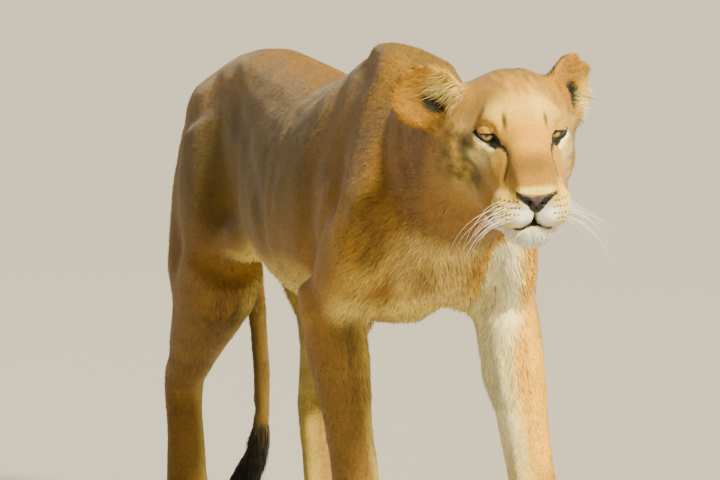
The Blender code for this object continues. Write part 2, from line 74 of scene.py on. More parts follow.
def way_at(azimuth, elevation):
    """The direction at these angles in degrees, from straight ahead of her round to her left."""
    azimuth, elevation = math.radians(azimuth), math.radians(elevation)
    flat = math.cos(elevation)
    return Vector((math.sin(azimuth) * flat, -math.cos(azimuth) * flat, math.sin(elevation)))


def new_object(name, data):
    obj = bpy.data.objects.new(name, data)
    bpy.context.scene.collection.objects.link(obj)
    return obj


def aim(obj, place, back):
    """Sets a camera or a lamp at the place, with its back to the direction."""
    obj.location = place
    obj.rotation_euler = back.to_track_quat("Z", "Y").to_euler()


between_eyes = (middle_of("eye_left") + middle_of("eye_right")) / 2
HEAD = placed((0, 0, -EYE_RISE), parent=placed(between_eyes, HEAD_TURN))

lens = bpy.data.cameras.new("camera")
lens.lens = 265.5
lens.sensor_width = 36
camera = new_object("camera", lens)
toward_camera = way_at(-20, 6.3)
aim(camera, between_eyes + AIM_FROM_EYES + DISTANCE * toward_camera, toward_camera)
bpy.context.scene.camera = camera

# ---------------------------------------------------------------- floor and light
# A plain pale floor. A warm soft sun stands high ahead on her left, a weak fill low ahead of her and
# a rim light behind her, under a sky that is pale near the horizon and nearly dark overhead.
FLOOR_HALF = 150
SHOULDER = Vector((0, -0.3, 0.7))


def new_material(name, values):
    """A material whose shader has its sockets set to the values."""
    material = bpy.data.materials.new(name)
    material.use_nodes = True
    shader = material.node_tree.nodes["Principled BSDF"]
    for socket, value in values.items():
        shader.inputs[socket].default_value = value
    return material


def add_node(owner, kind, values, sources, operation=None):
    """A node of a material or the sky, its sockets set to the values or linked from the sources."""
    node = owner.node_tree.nodes.new("ShaderNode" + kind)
    if operation:
        node.operation = operation
    for socket, value in values.items():
        node.inputs[socket].default_value = value
    for socket, source in sources.items():
        owner.node_tree.links.new(source, node.inputs[socket])
    return node


def mesh_of(shape, name):
    """The finished bmesh as a mesh."""
    mesh = bpy.data.meshes.new(name)
    shape.to_mesh(mesh)
    shape.free()
    return mesh


floor_shape = bmesh.new()
bmesh.ops.create_grid(floor_shape, x_segments=1, y_segments=1, size=FLOOR_HALF)
floor = new_object("floor", mesh_of(floor_shape, "floor"))
pale = new_material("pale_floor", {"Base Color": (0.42, 0.40, 0.40, 1), "Roughness": 0.9})
floor.data.materials.append(pale)


def soft_light(name, place, size, power, colour):
    """A square soft light at the place, aimed at her shoulder."""
    light = bpy.data.lights.new(name, "AREA")
    light.size = size
    light.energy = power
    light.color = colour
    aim(new_object(name, light), place, Vector(place) - SHOULDER)


sun = bpy.data.lights.new("sun", "SUN")
sun.energy = 12.0
sun.angle = math.radians(11)
sun.color = (1.0, 0.90, 0.60)
aim(new_object("sun", sun), (0, 0, 0), way_at(20, 45))
soft_light("fill", (0.6, -4.6, 0.8), 2.2, 55, (1.0, 0.93, 0.80))
soft_light("rim", (-1.2, 3.6, 3.4), 1.6, 40, (1.0, 0.95, 0.88))
sky = bpy.data.worlds.new("sky")
bpy.context.scene.world = sky
sky.use_nodes = True
backdrop = sky.node_tree.nodes["Background"]
backdrop.inputs["Color"].default_value = (0.95, 0.90, 0.82, 1)
way = add_node(sky, "TexCoord", {}, {})
heights = add_node(sky, "SeparateXYZ", {}, {"Vector": way.outputs["Generated"]})
low_to_high = {"From Min": 0.13, "From Max": 0.40, "To Min": 0.85, "To Max": 0.03}
brightness = add_node(sky, "MapRange", low_to_high, {"Value": heights.outputs["Z"]})
sky.node_tree.links.new(brightness.outputs["Result"], backdrop.inputs["Strength"])

# ---------------------------------------------------------------- skin
# One hide over the whole animal, without a seam. It is grown from the flesh of every CAD piece,
# eased where the muscles run into each other, and lies inside them by the depth of the coat.
SWELL = 0.0008  # closes the cuts between the pieces
CELL = 0.0083  # edge of the cells in which the hide is grown
BODY_EASE, FINE_EASE, HEAD_EASE = 24, 3, 4  # passes of smoothing
UNDO = -0.505  # the counter step of each smoothing pass, which keeps the bulk
EYE_SEAT = (0.0, 0.0525, EYE_RISE)  # left eyeball's centre in the head's frame
SIDES = {"left": 1, "right": -1}
AROUND_EYE, LIDS_ONLY = 0.036, 0.0295  # reaches from an eyeball's centre


def table_of(items, name, width=3):
    """The named value of every item, as a numpy table of that many columns."""
    table = np.empty(len(items) * width)
    items.foreach_get(name, table)
    return table.reshape(-1, width) if width > 1 else table


def fade(away):
    """1 at nothing away, falling smoothly to 0 at 1 away."""
    t = np.clip(1 - away, 0, 1)
    return t * t * (3 - 2 * t)


def rise(value, low, high):
    """0 below low, rising smoothly to 1 above high."""
    t = np.clip((value - low) / (high - low), 0, 1)
    return t * t * (3 - 2 * t)


def seen_from(matrix, points):
    """World points in the matrix's own frame."""
    inverse = np.array(matrix.inverted())
    return points @ inverse[:3, :3].T + inverse[:3, 3]


def neighbour_mean(values, edges):
    """The mean of each corner's neighbours."""
    count = len(values)
    ends, others = np.concatenate([edges, edges[:, ::-1]]).T
    degree = np.maximum(np.bincount(ends, minlength=count), 1)
    sums = [np.bincount(ends, values[others, axis], count) for axis in range(values.shape[1])]
    return np.stack(sums, axis=1) / degree[:, None]


def eased(points, edges, share, passes):
    """The points smoothed over the mesh, each pass half undone so that the bulk stays."""
    for factor in [0.5, UNDO] * passes:
        points = points + (neighbour_mean(points, edges) - points) * (factor * share)[:, None]
    return points


flesh = bmesh.new()
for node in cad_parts.values():
    piece = bmesh.new()
    piece.from_mesh(node.data)
    bmesh.ops.remove_doubles(piece, verts=piece.verts, dist=0.00001)
    piece.normal_update()
    for corner in piece.verts:
        corner.co += corner.normal * SWELL
    swollen = mesh_of(piece, "flesh_part")
    flesh.from_mesh(swollen)
    bpy.data.meshes.remove(swollen)
skin = new_object("skin", mesh_of(flesh, "skin"))
remesh = skin.modifiers.new("grow", "REMESH")
remesh.mode = "VOXEL"
remesh.voxel_size = CELL
grown = skin.evaluated_get(bpy.context.evaluated_depsgraph_get())
skin.data = bpy.data.meshes.new_from_object(grown)
skin.modifiers.clear()

# only the largest joined body stays
shape = bmesh.new()
shape.from_mesh(skin.data)
seen = set()
bodies = []
for start in shape.verts:
    if start in seen:
        continue
    seen.add(start)
    body = [start]
    for corner in body:
        beside = [edge.other_vert(corner) for edge in corner.link_edges]
        beside = [other for other in beside if other not in seen]
        seen.update(beside)
        body.extend(beside)
    bodies.append(body)
for body in sorted(bodies, key=len)[:-1]:
    bmesh.ops.delete(shape, geom=body, context="VERTS")
shape.to_mesh(skin.data)
shape.free()


def skin_points():
    return table_of(skin.data.vertices, "co")


def skin_edges():
    return table_of(skin.data.edges, "vertices", 2).astype(int)


def reshaped(points):
    """Writes the points to the hide and returns its new normals."""
    skin.data.vertices.foreach_set("co", points.ravel())
    skin.data.update()
    return table_of(skin.data.vertex_normals, "vector")


def share_of_head(local):
    """1 on the head, fading to 0 on the neck."""
    share = rise(local[:, 0], -0.19, -0.13) * rise(-np.abs(local[:, 2]), -0.26, -0.20)
    return share * fade(np.clip(np.abs(local[:, 1]) - 0.20, 0, 1) / 0.05)


def folded_head():
    """The hide's corners in the head's frame, those of her right laid over on her left."""
    local = seen_from(HEAD, skin_points())
    local[:, 1] = np.abs(local[:, 1])
    return local


def refine_hide(wanted):
    """Cuts the hide's faces whose corners are all wanted into four."""
    shape = bmesh.new()
    shape.from_mesh(skin.data)
    faces = [face for face in shape.faces if all(wanted[corner.index] for corner in face.verts)]
    chosen = list({edge for face in faces for edge in face.edges})
    bmesh.ops.subdivide_edges(shape, edges=chosen, cuts=1, use_grid_fill=True, smooth=0.4)
    shape.to_mesh(skin.data)
    shape.free()


points = skin_points()
edges = skin_edges()
fine_share = np.maximum(share_of_head(seen_from(HEAD, points)), rise(-points[:, 2], -0.14, -0.09))
points = eased(points, edges, 1 - fine_share, BODY_EASE)
points = eased(points, edges, np.ones(len(points)), FINE_EASE)
reshaped(points)

# The head and paws are worked finer than the body, the eyes and lips finer still.
refine_hide(fine_share > 0.5)
folded = folded_head()
by_mouth = (folded[:, 0] > 0.080) & (folded[:, 1] < 0.068) & (folded[:, 2] > -0.138) & (folded[:, 2] < -0.034)
refine_hide((np.linalg.norm(folded - EYE_SEAT, axis=1) < AROUND_EYE) | by_mouth)
refine_hide(np.linalg.norm(folded_head() - EYE_SEAT, axis=1) < LIDS_ONLY)
points = skin_points()
edges = skin_edges()
head_share = share_of_head(seen_from(HEAD, points))
points = eased(points, edges, rise(head_share, 0.3, 0.6), HEAD_EASE)
reshaped(points)

# Places of the ears: each cup's root, and its turn from the head, in degrees.
EARS = {
    "ear_left": ((-0.113, 0.099, -0.016), (-24, -7, 41)),
    "ear_right": ((-0.096, -0.094, 0.004), (58, -8, -7)),
}
TUFT_LOW, TUFT_HIGH = (np.array(end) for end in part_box("tail_tuft"))
TUFT_MIDDLE = (TUFT_LOW + TUFT_HIGH) / 2


def ear_frame(name):
    """At the root of the cup, x out of its open front, z up to its tip."""
    place, turn = EARS[name]
    return placed(place, turn, HEAD)


def ear_way(name, way):
    """The world's direction of a way in the ear's frame."""
    return np.array(ear_frame(name).to_3x3() @ Vector(way))


def blob(frame_points, centre, reach):
    """1 at the centre, fading to nothing at the reach along each axis."""
    return fade(np.linalg.norm((frame_points - centre) / reach, axis=1))


def both(frame_points, centre, reach):
    """The same on both sides of the middle line."""
    other = (centre[0], -centre[1], centre[2])
    return np.maximum(blob(frame_points, centre, reach), blob(frame_points, other, reach))


# The coat's depth, by which the hide lies inside the flesh's outline.
BODY_COAT, HEAD_COAT, LEG_COAT, TUFT_COAT, EAR_COAT = 0.0045, 0.0020, 0.0024, 0.012, 0.0004
points = skin_points()
head_share = share_of_head(seen_from(HEAD, points))
depth = np.full(len(points), BODY_COAT)
depth += (HEAD_COAT - depth) * head_share
depth += (LEG_COAT - depth) * rise(-points[:, 2], -0.26, -0.12)
depth += (TUFT_COAT - depth) * blob(points, TUFT_MIDDLE, (0.12, 0.12, 0.11))
for name in EARS:
    local = seen_from(ear_frame(name), points)
    on_ear = rise(local[:, 2], 0.010, 0.035) * (np.linalg.norm(local - (0, 0, 0.06), axis=1) < 0.10)
    depth += (EAR_COAT - depth) * on_ear
normals = table_of(skin.data.vertex_normals, "vector")
points = points - normals * (depth + SWELL)[:, None]

# Muscles and loose folds of the trunk, laid on the hide along lines of the world, on both sides.
BODY_LINES = {  # path on her right side, half width, height
    "behind the shoulder": (
        [(-0.071, -0.10, 0.934), (-0.103, -0.14, 0.895), (-0.124, -0.148, 0.845), (-0.141, -0.13, 0.775),
         (-0.149, -0.132, 0.707), (-0.144, -0.136, 0.638)],
        0.034, -0.009,
    ),
    "shoulder blade": (
        [(-0.03, -0.25, 0.985), (-0.075, -0.276, 0.939), (-0.099, -0.265, 0.880), (-0.124, -0.285, 0.806),
         (-0.151, -0.323, 0.743)],
        0.034, 0.009,
    ),
    "before the shoulder": (
        [(-0.06, -0.33, 0.95), (-0.095, -0.36, 0.88), (-0.115, -0.40, 0.80), (-0.12, -0.43, 0.72)],
        0.030, -0.008,
    ),
    "fold of the neck": (
        [(-0.093, -0.43, 0.87), (-0.10, -0.476, 0.822), (-0.095, -0.554, 0.788)],
        0.018, -0.005,
    ),
    "under the jaw": (
        [(-0.089, -0.608, 0.809), (-0.066, -0.617, 0.768), (-0.014, -0.597, 0.723)],
        0.020, -0.006,
    ),
    "outer fold of the chest": (
        [(-0.098, -0.397, 0.63), (-0.113, -0.365, 0.585), (-0.102, -0.274, 0.535)],
        0.018, -0.010,
    ),
    "inner fold of the chest": (
        [(-0.064, -0.40, 0.596), (-0.044, -0.445, 0.642), (-0.017, -0.467, 0.66)],
        0.017, -0.008,
    ),
    "before the thigh": (
        [(-0.079, 0.464, 0.883), (-0.108, 0.353, 0.821), (-0.141, 0.20, 0.745), (-0.153, 0.122, 0.682),
         (-0.15, 0.098, 0.632)],
        0.030, -0.0085,
    ),
    "back of the upper arm": (
        [(-0.143, -0.253, 0.736), (-0.155, -0.21, 0.664), (-0.18, -0.22, 0.60)],
        0.022, -0.007,
    ),
    "front of the upper arm": (
        [(-0.158, -0.342, 0.728), (-0.149, -0.392, 0.666), (-0.14, -0.36, 0.60)],
        0.024, -0.005,
    ),
    "loose flank": (
        [(-0.086, -0.03, 0.906), (-0.112, 0.043, 0.85), (-0.14, 0.04, 0.795), (-0.158, 0.042, 0.70)],
        0.015, -0.0032,
    ),
    "loose flank behind": (
        [(-0.09, 0.06, 0.90), (-0.125, 0.10, 0.83), (-0.15, 0.10, 0.75), (-0.155, 0.09, 0.67)],
        0.014, -0.0028,
    ),
    "hollow of the loin": ([(-0.09, 0.20, 0.87), (-0.125, 0.27, 0.79)], 0.030, -0.0045),
    "thigh muscle": ([(-0.14, 0.50, 0.80), (-0.155, 0.42, 0.68), (-0.14, 0.36, 0.58)], 0.024, -0.005),
    "ham": ([(-0.12, 0.60, 0.76), (-0.145, 0.57, 0.64), (-0.14, 0.53, 0.50)], 0.024, -0.005),
    "forearm": ([(-0.175, -0.23, 0.52), (-0.165, -0.22, 0.42), (-0.13, -0.23, 0.29)], 0.014, -0.004),
    "hock hollow": ([(-0.135, 0.66, 0.42), (-0.12, 0.70, 0.34)], 0.016, -0.005),
}
RIBS, RIB_STEP = 5, 0.052
for number in range(RIBS):  # shallow dips between the ribs
    back = RIB_STEP * number
    rib = [(-0.125, -0.06 + back, 0.85), (-0.15, -0.03 + back, 0.75), (-0.15, 0.0 + back, 0.64)]
    BODY_LINES[f"rib {number}"] = (rib, 0.013, -0.0016)
FOLD_DEPTH = 0.70  # share of each line's height
MIDDLE = -0.0067  # her trunk's middle plane
BODY_SWELLS = {  # centre on her right side, reach, height
    "hip bone": ((-0.072, 0.44, 0.90), (0.06, 0.06, 0.05), 0.009),
    "rump bone": ((-0.060, 0.66, 0.84), (0.05, 0.05, 0.05), 0.006),
    "point of the shoulder": ((-0.15, -0.37, 0.70), (0.06, 0.06, 0.07), 0.007),
    "upper arm": ((-0.165, -0.28, 0.66), (0.05, 0.07, 0.07), 0.006),
    "elbow": ((-0.165, -0.20, 0.55), (0.04, 0.04, 0.04), 0.007),
    "thigh": ((-0.15, 0.37, 0.68), (0.06, 0.10, 0.10), 0.006),
    "knee": ((-0.14, 0.33, 0.55), (0.05, 0.05, 0.05), 0.005),
    "breast": ((-0.05, -0.46, 0.68), (0.05, 0.05, 0.07), 0.005),
}
BODY_SOFT, FACE_LINE_SOFT, FACE_SWELL_SOFT = 1.5, 1.6, 1.3  # widening of the fading edges


def distance_to(frame_points, path):
    """How far each point is from a path of straight stretches."""
    nearest = np.full(len(frame_points), np.inf)
    for a, b in zip(path, path[1:]):
        a, b = np.array(a), np.array(b)
        along = np.clip((frame_points - a) @ (b - a) / ((b - a) @ (b - a)), 0, 1)
        away = np.linalg.norm(frame_points - a - along[:, None] * (b - a), axis=1)
        nearest = np.minimum(nearest, away)
    return nearest


def curve(path, steps=6):
    """A smooth path through the points."""
    table = np.array([path[0], *path, path[-1]], float)
    rows = []
    for a, b, c, d in zip(table, table[1:], table[2:], table[3:]):
        for t in np.arange(steps) / steps:
            bend = (2 * a - 5 * b + 4 * c - d) * t * t + (3 * b - a - 3 * c + d) * t**3
            rows.append(0.5 * (2 * b + (c - a) * t + bend))
    return rows + [table[-1]]


def snapped(path, matrix=Matrix.Identity(4)):
    """The path's points laid on the hide, in the matrix's frame."""
    laid = [tree.find_nearest(matrix @ Vector(place))[0] for place in path]
    return [tuple(matrix.inverted() @ place) for place in laid]


def hide_tree(points):
    faces = [tuple(face.vertices) for face in skin.data.polygons]
    return BVHTree.FromPolygons([tuple(place) for place in points], faces)


def body_side(place, turn):
    """The place on her right side, or with a turn of -1 the one across from it on her left."""
    x, y, z = place
    return (MIDDLE + (x - MIDDLE) * turn, y, z)


normals = reshaped(points)
tree = hide_tree(points)
press = np.zeros(len(points))
for path, half_width, height in BODY_LINES.values():
    for turn in (1, -1):
        laid = curve(snapped([body_side(place, turn) for place in path]), 3)
        press += FOLD_DEPTH * height * fade(distance_to(points, laid) / (half_width * BODY_SOFT))
for centre, reach, height in BODY_SWELLS.values():
    for turn in (1, -1):
        press += height * blob(points, body_side(centre, turn), np.array(reach) * BODY_SOFT)
points = points + normals * (press * (1 - head_share))[:, None]
points = eased(points, edges, 1 - head_share, 2)

# Face: brow, lids, bridge, whisker pads, lips and chin, pressed and raised in the head's own frame.
normals = reshaped(points)
in_head = seen_from(HEAD, points)
tree = hide_tree(points)
AHEAD_OF_FACE = 0.3


def on_face(across, up):
    """The point of the face straight behind this place of the head's y and z."""
    start = HEAD @ Vector((AHEAD_OF_FACE, across, up))
    hit = tree.ray_cast(start, HEAD.to_3x3() @ Vector((-1, 0, 0)))
    return tuple(HEAD.inverted() @ hit[0])


def both_sides(path):
    return [path, [(x, -y, z) for x, y, z in path]]


FACE_LINES = {  # path, half width, height; a minus height presses a groove
    "groove under the nose": ([on_face(0, -0.080), on_face(0, -0.107)], 0.0034, -0.0040),
    "furrow of the brow": ([(0.040, 0, 0.030), (-0.010, 0, 0.062), (-0.06, 0, 0.075)], 0.012, -0.0016),
    "mouth": (
        [on_face(0, -0.1060), on_face(0.012, -0.1125), on_face(0.026, -0.1190), on_face(0.042, -0.1225),
         (0.100, 0.056, -0.1245), (0.070, 0.058, -0.123)],
        0.0042, -0.0055,
    ),
    "upper lip": ([on_face(0.018, -0.094), on_face(0.040, -0.100), (0.095, 0.056, -0.106)], 0.015, 0.0028),
    "lower lip": ([on_face(0.004, -0.120), on_face(0.028, -0.127)], 0.009, 0.0022),
    "back of the whisker pad": (
        [(0.118, 0.046, -0.048), (0.082, 0.058, -0.062), (0.058, 0.064, -0.090), (0.052, 0.060, -0.122)],
        0.013, -0.0034,
    ),
    "crease over the eye": ([(0.030, 0.034, 0.022), (0.018, 0.036, 0.040)], 0.006, -0.0022),
    "fold of the upper lid": (
        [(0.022, 0.036, 0.006), (0.020, 0.048, 0.020), (0.010, 0.066, 0.021), (-0.004, 0.080, 0.012)],
        0.0045, -0.0022,
    ),
    "under the lower lid": (
        [(0.026, 0.038, -0.016), (0.018, 0.056, -0.016), (0.002, 0.074, -0.008)],
        0.0070, 0.0016,
    ),
    "hollow under the cheek bone": ([(0.020, 0.068, -0.044), (-0.030, 0.086, -0.060)], 0.024, -0.0030),
    "tear groove": (
        [(0.030, 0.037, -0.008), (0.046, 0.043, -0.003), (0.062, 0.039, -0.003), (0.078, 0.037, -0.010),
         (0.088, 0.040, -0.025), (0.092, 0.045, -0.042)],
        0.008, -0.0028,
    ),
}
press = np.zeros(len(points))
for path, half_width, height in FACE_LINES.values():
    for one_side in both_sides(path) if any(place[1] for place in path) else [path]:
        laid = curve(snapped(one_side, HEAD))
        press += height * fade(distance_to(in_head, laid) / (half_width * FACE_LINE_SOFT))
FACE_SWELLS = {  # centre, reach, height
    "whisker pad": ((0.108, 0.040, -0.086), (0.050, 0.034, 0.040), 0.0045),
    "brow": ((0.010, 0.050, 0.028), (0.040, 0.034, 0.020), 0.0030),
    "cheek bone": ((-0.035, 0.082, -0.022), (0.050, 0.040, 0.032), 0.0030),
    "jaw muscle": ((-0.080, 0.092, -0.070), (0.060, 0.050, 0.055), 0.0040),
    "bridge edge": ((0.070, 0.034, -0.012), (0.070, 0.014, 0.024), 0.0022),
    "chin": ((0.128, 0.018, -0.140), (0.030, 0.030, 0.024), 0.0030),
    "temple hollow": ((-0.040, 0.070, 0.040), (0.045, 0.030, 0.030), -0.0030),
}
for centre, reach, height in FACE_SWELLS.values():
    press += height * both(in_head, centre, np.array(reach) * FACE_SWELL_SOFT)
points = points + normals * press[:, None]

# Lids: a smooth shell over each eyeball, open along an almond that slants down to the nose.
LID = 0.0024  # the shell's thickness
OPENING = 0.0035  # how far the hide drops behind the ball's surface within the opening
LID_REACH = 0.04  # of the shell, from the ball's centre
INNER_CORNER, OUTER_CORNER = np.array((-0.0190, -0.0120)), np.array((0.0220, 0.0000))
UPPER_ARC, LOWER_ARC = 0.0100, 0.0034
ARC_LEAN = 0.55  # how far the upper arc's height leans to the inner corner
EYE_TURN = 8  # degrees outward
eye_low, eye_high = (np.array(end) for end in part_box("eye_left"))
EYE_RADIUS = float(np.mean(eye_high - eye_low)) / 2


def eye_frame(side):
    """Centred in the eyeball, x out through the lids, y to her left, z up."""
    x, y, z = EYE_SEAT
    return placed((x, y * side, z), (0, 0, EYE_TURN * side), HEAD)


def lid_arcs(frame_points, side):
    """How far below the upper lid's edge and above the lower lid's a point of the eye's frame is.

    The last value is its place along the opening: -1 at the inner corner and 1 at the outer.
    """
    chord = OUTER_CORNER - INNER_CORNER
    length = np.linalg.norm(chord)
    along_way, up_way = chord / length, np.array((-chord[1], chord[0])) / length
    flat = np.stack([frame_points[:, 1] * side, frame_points[:, 2]], axis=1)
    middle = flat - (INNER_CORNER + OUTER_CORNER) / 2
    share = middle @ along_way / (length / 2)
    up = middle @ up_way
    bow = np.maximum(1 - share**2, -1)
    return UPPER_ARC * bow * (1 - ARC_LEAN * share) - up, up + LOWER_ARC * bow, share


def inside_lids(frame_points, side):
    """How far inside the opening between the lids a point of the eye's frame is."""
    upper, lower, share = lid_arcs(frame_points, side)
    past = np.maximum(np.abs(share) - 1, 0) * np.linalg.norm(OUTER_CORNER - INNER_CORNER) / 2
    return np.where(past > 0, -np.hypot(past, np.maximum(-upper, -lower)), np.minimum(upper, lower))


for side in SIDES.values():
    seat = eye_frame(side)
    local = seen_from(seat, points)
    away = np.linalg.norm(local, axis=1)
    ahead = local[:, 0] / np.maximum(away, 1e-6)
    near = rise(ahead, 0.20, 0.62) * fade(np.clip(away - 0.026, 0, 1) / 0.008)
    shell = EYE_RADIUS + LID
    wanted = away + (shell - away) * near
    covered = (ahead > 0) & (away < LID_REACH)
    wanted = np.where(covered, np.maximum(wanted, shell - 0.0006), wanted)
    opened = rise(inside_lids(local, side), -0.0009, 0.0007) * covered * (away < LID_REACH * 0.8)
    wanted = wanted + (EYE_RADIUS - OPENING - wanted) * opened
    local = local * (wanted / np.maximum(away, 1e-6))[:, None]
    moved = local @ np.array(seat)[:3, :3].T + np.array(seat)[:3, 3]
    points = np.where((covered & (wanted != away))[:, None], moved, points)

# Nostrils: commas that slant up and out below the wings of the nose.
NOSTRIL_IN, NOSTRIL_OUT = (0.150, 0.0120, -0.0720), (0.138, 0.0310, -0.0570)
NOSTRIL_WIDE, NOSTRIL_NARROWS = 0.0082, 0.0036  # half width at the inner end, and how much it loses
NOSTRIL_DEPTH = 0.0095
normals = reshaped(points)
in_head = seen_from(HEAD, points)
tree = hide_tree(points)
nostril = np.zeros(len(points))
for one_side in both_sides([NOSTRIL_IN, NOSTRIL_OUT]):
    away = distance_to(in_head, snapped(one_side, HEAD))
    share = (np.abs(in_head[:, 1]) - NOSTRIL_IN[1]) / (NOSTRIL_OUT[1] - NOSTRIL_IN[1])
    nostril = np.maximum(nostril, fade(away / (NOSTRIL_WIDE - NOSTRIL_NARROWS * np.clip(share, 0, 1))))
into_nose = np.array(HEAD.to_3x3() @ Vector((-1, 0, 0.25)))
points = points + into_nose * (NOSTRIL_DEPTH * rise(nostril, 0.0, 0.85))[:, None]

# Ears: cups with a deep hollow at the root.
CUP_DEPTH = 0.010
for name in EARS:
    hollow = blob(seen_from(ear_frame(name), points), (0.004, 0, 0.030), (0.030, 0.026, 0.034))
    back = ear_way(name, (-1, 0, -0.5))
    facing = rise(normals @ -back, 0.0, 0.5)
    points = points + back * (CUP_DEPTH * hollow * facing)[:, None]

normals = reshaped(points)
in_head = seen_from(HEAD, points)
tree = hide_tree(points)


# Colours of hide and coat alike, from marks laid in the head's frame and in the world's, some of them painted
# shade and painted light.
def colour(red, green, blue):
    """A screen colour, 0 to 255, as light."""
    share = np.array((red, green, blue)) / 255
    return np.where(share <= 0.04045, share / 12.92, ((share + 0.055) / 1.055) ** 2.4)


TAWNY, GREY_TAWNY, CREAM = colour(172, 118, 58), colour(136, 98, 60), colour(250, 218, 126)
BREAST, PALE_AND_LIT_LEG, EYE_PATCH = colour(226, 190, 124), colour(255, 242, 196), colour(255, 242, 192)
CUP, CUP_MARGIN = colour(178, 122, 40), colour(238, 200, 110)
# how much painted shade darkens each ear's hollow; the ear on her right is painted as if in shade
CUP_PAINTED_SHADE = {"ear_left": 0.20, "ear_right": 0.55}  # share of the dark in each hollow
WHITE, RUFOUS, BLACK = colour(255, 251, 236), colour(160, 92, 30), colour(18, 13, 10)
GOLD, DUN, SMOKE = colour(222, 156, 40), colour(154, 103, 38), colour(92, 68, 44)
BROWN, PAD, FAWN = colour(112, 77, 40), colour(60, 46, 40), colour(226, 168, 52)
UMBER, GREY_CHEEK, UNDER_EYE = colour(108, 76, 40), colour(204, 164, 106), colour(232, 204, 150)
RICHER = (1.28, 1.10, 1.30)  # power of each channel: deep hair darkens and yellows, white stays
HEAD_MARKS = [  # colour, centre, reach, strength
    (FAWN, (0.02, 0, 0.03), (0.14, 0.085, 0.10), 0.85),
    (GREY_TAWNY, (-0.11, 0, 0.085), (0.07, 0.060, 0.05), 0.65),
    (GREY_TAWNY, (-0.05, 0.040, 0.075), (0.05, 0.014, 0.05), 0.35),
    (CREAM, (0.010, 0.030, 0.050), (0.040, 0.050, 0.030), 0.55),
    (GOLD, (0.060, 0, 0.000), (0.070, 0.030, 0.060), 0.45),
    (DUN, (0.106, 0, -0.022), (0.036, 0.042, 0.028), 1.5),
    (GREY_CHEEK, (-0.03, 0.090, -0.045), (0.10, 0.06, 0.085), 0.95),
    (SMOKE, (-0.014, 0.088, -0.024), (0.024, 0.026, 0.026), 1.1),
    (SMOKE, (0.008, 0.074, -0.068), (0.044, 0.030, 0.022), 0.65),
    (BROWN, (-0.060, 0.095, -0.060), (0.050, 0.040, 0.050), 0.35),
    (UNDER_EYE, (0.014, 0.066, -0.030), (0.044, 0.034, 0.022), 0.95),
    (GOLD, (0.110, 0.050, -0.064), (0.034, 0.030, 0.030), 0.60),
    (CREAM, (0.112, 0.046, -0.088), (0.046, 0.032, 0.042), 1.0),
    (WHITE, (0.142, 0.018, -0.092), (0.036, 0.028, 0.026), 1.2),
    (WHITE, (0.100, 0, -0.150), (0.065, 0.065, 0.046), 1.3),
    (CREAM, (0.020, 0, -0.150), (0.080, 0.060, 0.050), 0.8),
    (CREAM, (0.142, 0, -0.047), (0.016, 0.042, 0.0085), 1.4),
    (UMBER, (0.030, 0.034, 0.036), (0.020, 0.0045, 0.017), 1.1),
]
BODY_MARKS = [  # the same in the world
    # umber over the flank and hip and brown in the hollows before the thigh and the hip: a darker coat,
    # deepened by painted shade
    (UMBER, (-0.130, 0.30, 0.75), (0.09, 0.30, 0.20), 0.85),
    (UMBER, (-0.140, 0.55, 0.66), (0.09, 0.16, 0.24), 0.75),
    (UMBER, (-0.125, -0.02, 0.76), (0.07, 0.20, 0.16), 0.75),
    (BROWN, (-0.150, 0.14, 0.72), (0.05, 0.05, 0.12), 0.75),
    (BROWN, (-0.115, 0.36, 0.82), (0.06, 0.09, 0.08), 0.70),
    (DUN, (-0.030, 0.26, 0.92), (0.08, 0.20, 0.05), 0.85),
    (CREAM, (-0.100, 0.270, 0.585), (0.05, 0.06, 0.035), 0.55),
    (BROWN, (-0.127, -0.283, 0.517), (0.04, 0.04, 0.05), 0.8),
    (RUFOUS, (-0.10, -0.50, 0.82), (0.06, 0.12, 0.08), 0.40),
    # rufous in the outer and inner folds of the chest: painted shade in the folds
    (RUFOUS, (-0.11, -0.36, 0.58), (0.035, 0.05, 0.04), 0.7),
    (RUFOUS, (-0.05, -0.42, 0.62), (0.025, 0.05, 0.04), 0.5),
    (BROWN, (-0.12, -0.26, 0.84), (0.05, 0.06, 0.10), 0.35),
    (FAWN, (-0.15, -0.34, 0.68), (0.05, 0.06, 0.08), 0.35),
]
MARK_SOFT = 1.4  # widening of each mark's fading edge
BARS, LOWEST_BAR, BAR_STEP = 6, 0.30, 0.055  # faint bars across the hind legs
TAIL_LINE = [(0.01, 0.84, 0.72), (0.068, 0.81, 0.58), (0.072, 0.80, 0.40), (0.072, 0.81, 0.20)]
TEAR_LINE = [(0.026, 0.037, -0.008), (0.046, 0.043, -0.003), (0.060, 0.039, -0.003), (0.078, 0.037, -0.010),
             (0.088, 0.040, -0.025), (0.092, 0.045, -0.042)]
TEAR_LINE = curve(snapped(TEAR_LINE, HEAD), 3)
MOUTH = curve(snapped(FACE_LINES["mouth"][0], HEAD))
# rows of dark spots on the whisker pads: height, place of the first spot, how many spots
PAD_ROWS = ((-0.066, 0.031, 6), (-0.076, 0.028, 6), (-0.087, 0.030, 5), (-0.096, 0.036, 5))
PAD_SPOTS = [
    place
    for height, first, many in PAD_ROWS
    for number in range(many)
    for place in both_sides([on_face(first + 0.0060 * number, height - 0.0004 * number)])
]
PAD_SPOTS = np.array(PAD_SPOTS).reshape(-1, 3)
WING_TOP, WING_OUT, NOSE_FOOT = -0.0515, 0.0370, -0.0900
FOOT_HALF = 0.0018  # half the width of the leather's foot


def blended(paint, new, share):
    return paint + (new - paint) * np.clip(share, 0, 1)[:, None]


def mottle(places, size):
    """Uneven patches about the size across, mostly from -1 to 1."""
    waves = np.random.default_rng(7).normal(size=(9, 3))
    waves /= np.linalg.norm(waves, axis=1)[:, None]
    phases = np.arange(9) * 2.4
    return np.sin(places @ waves.T * (math.pi / size) + phases).sum(axis=1) / 4


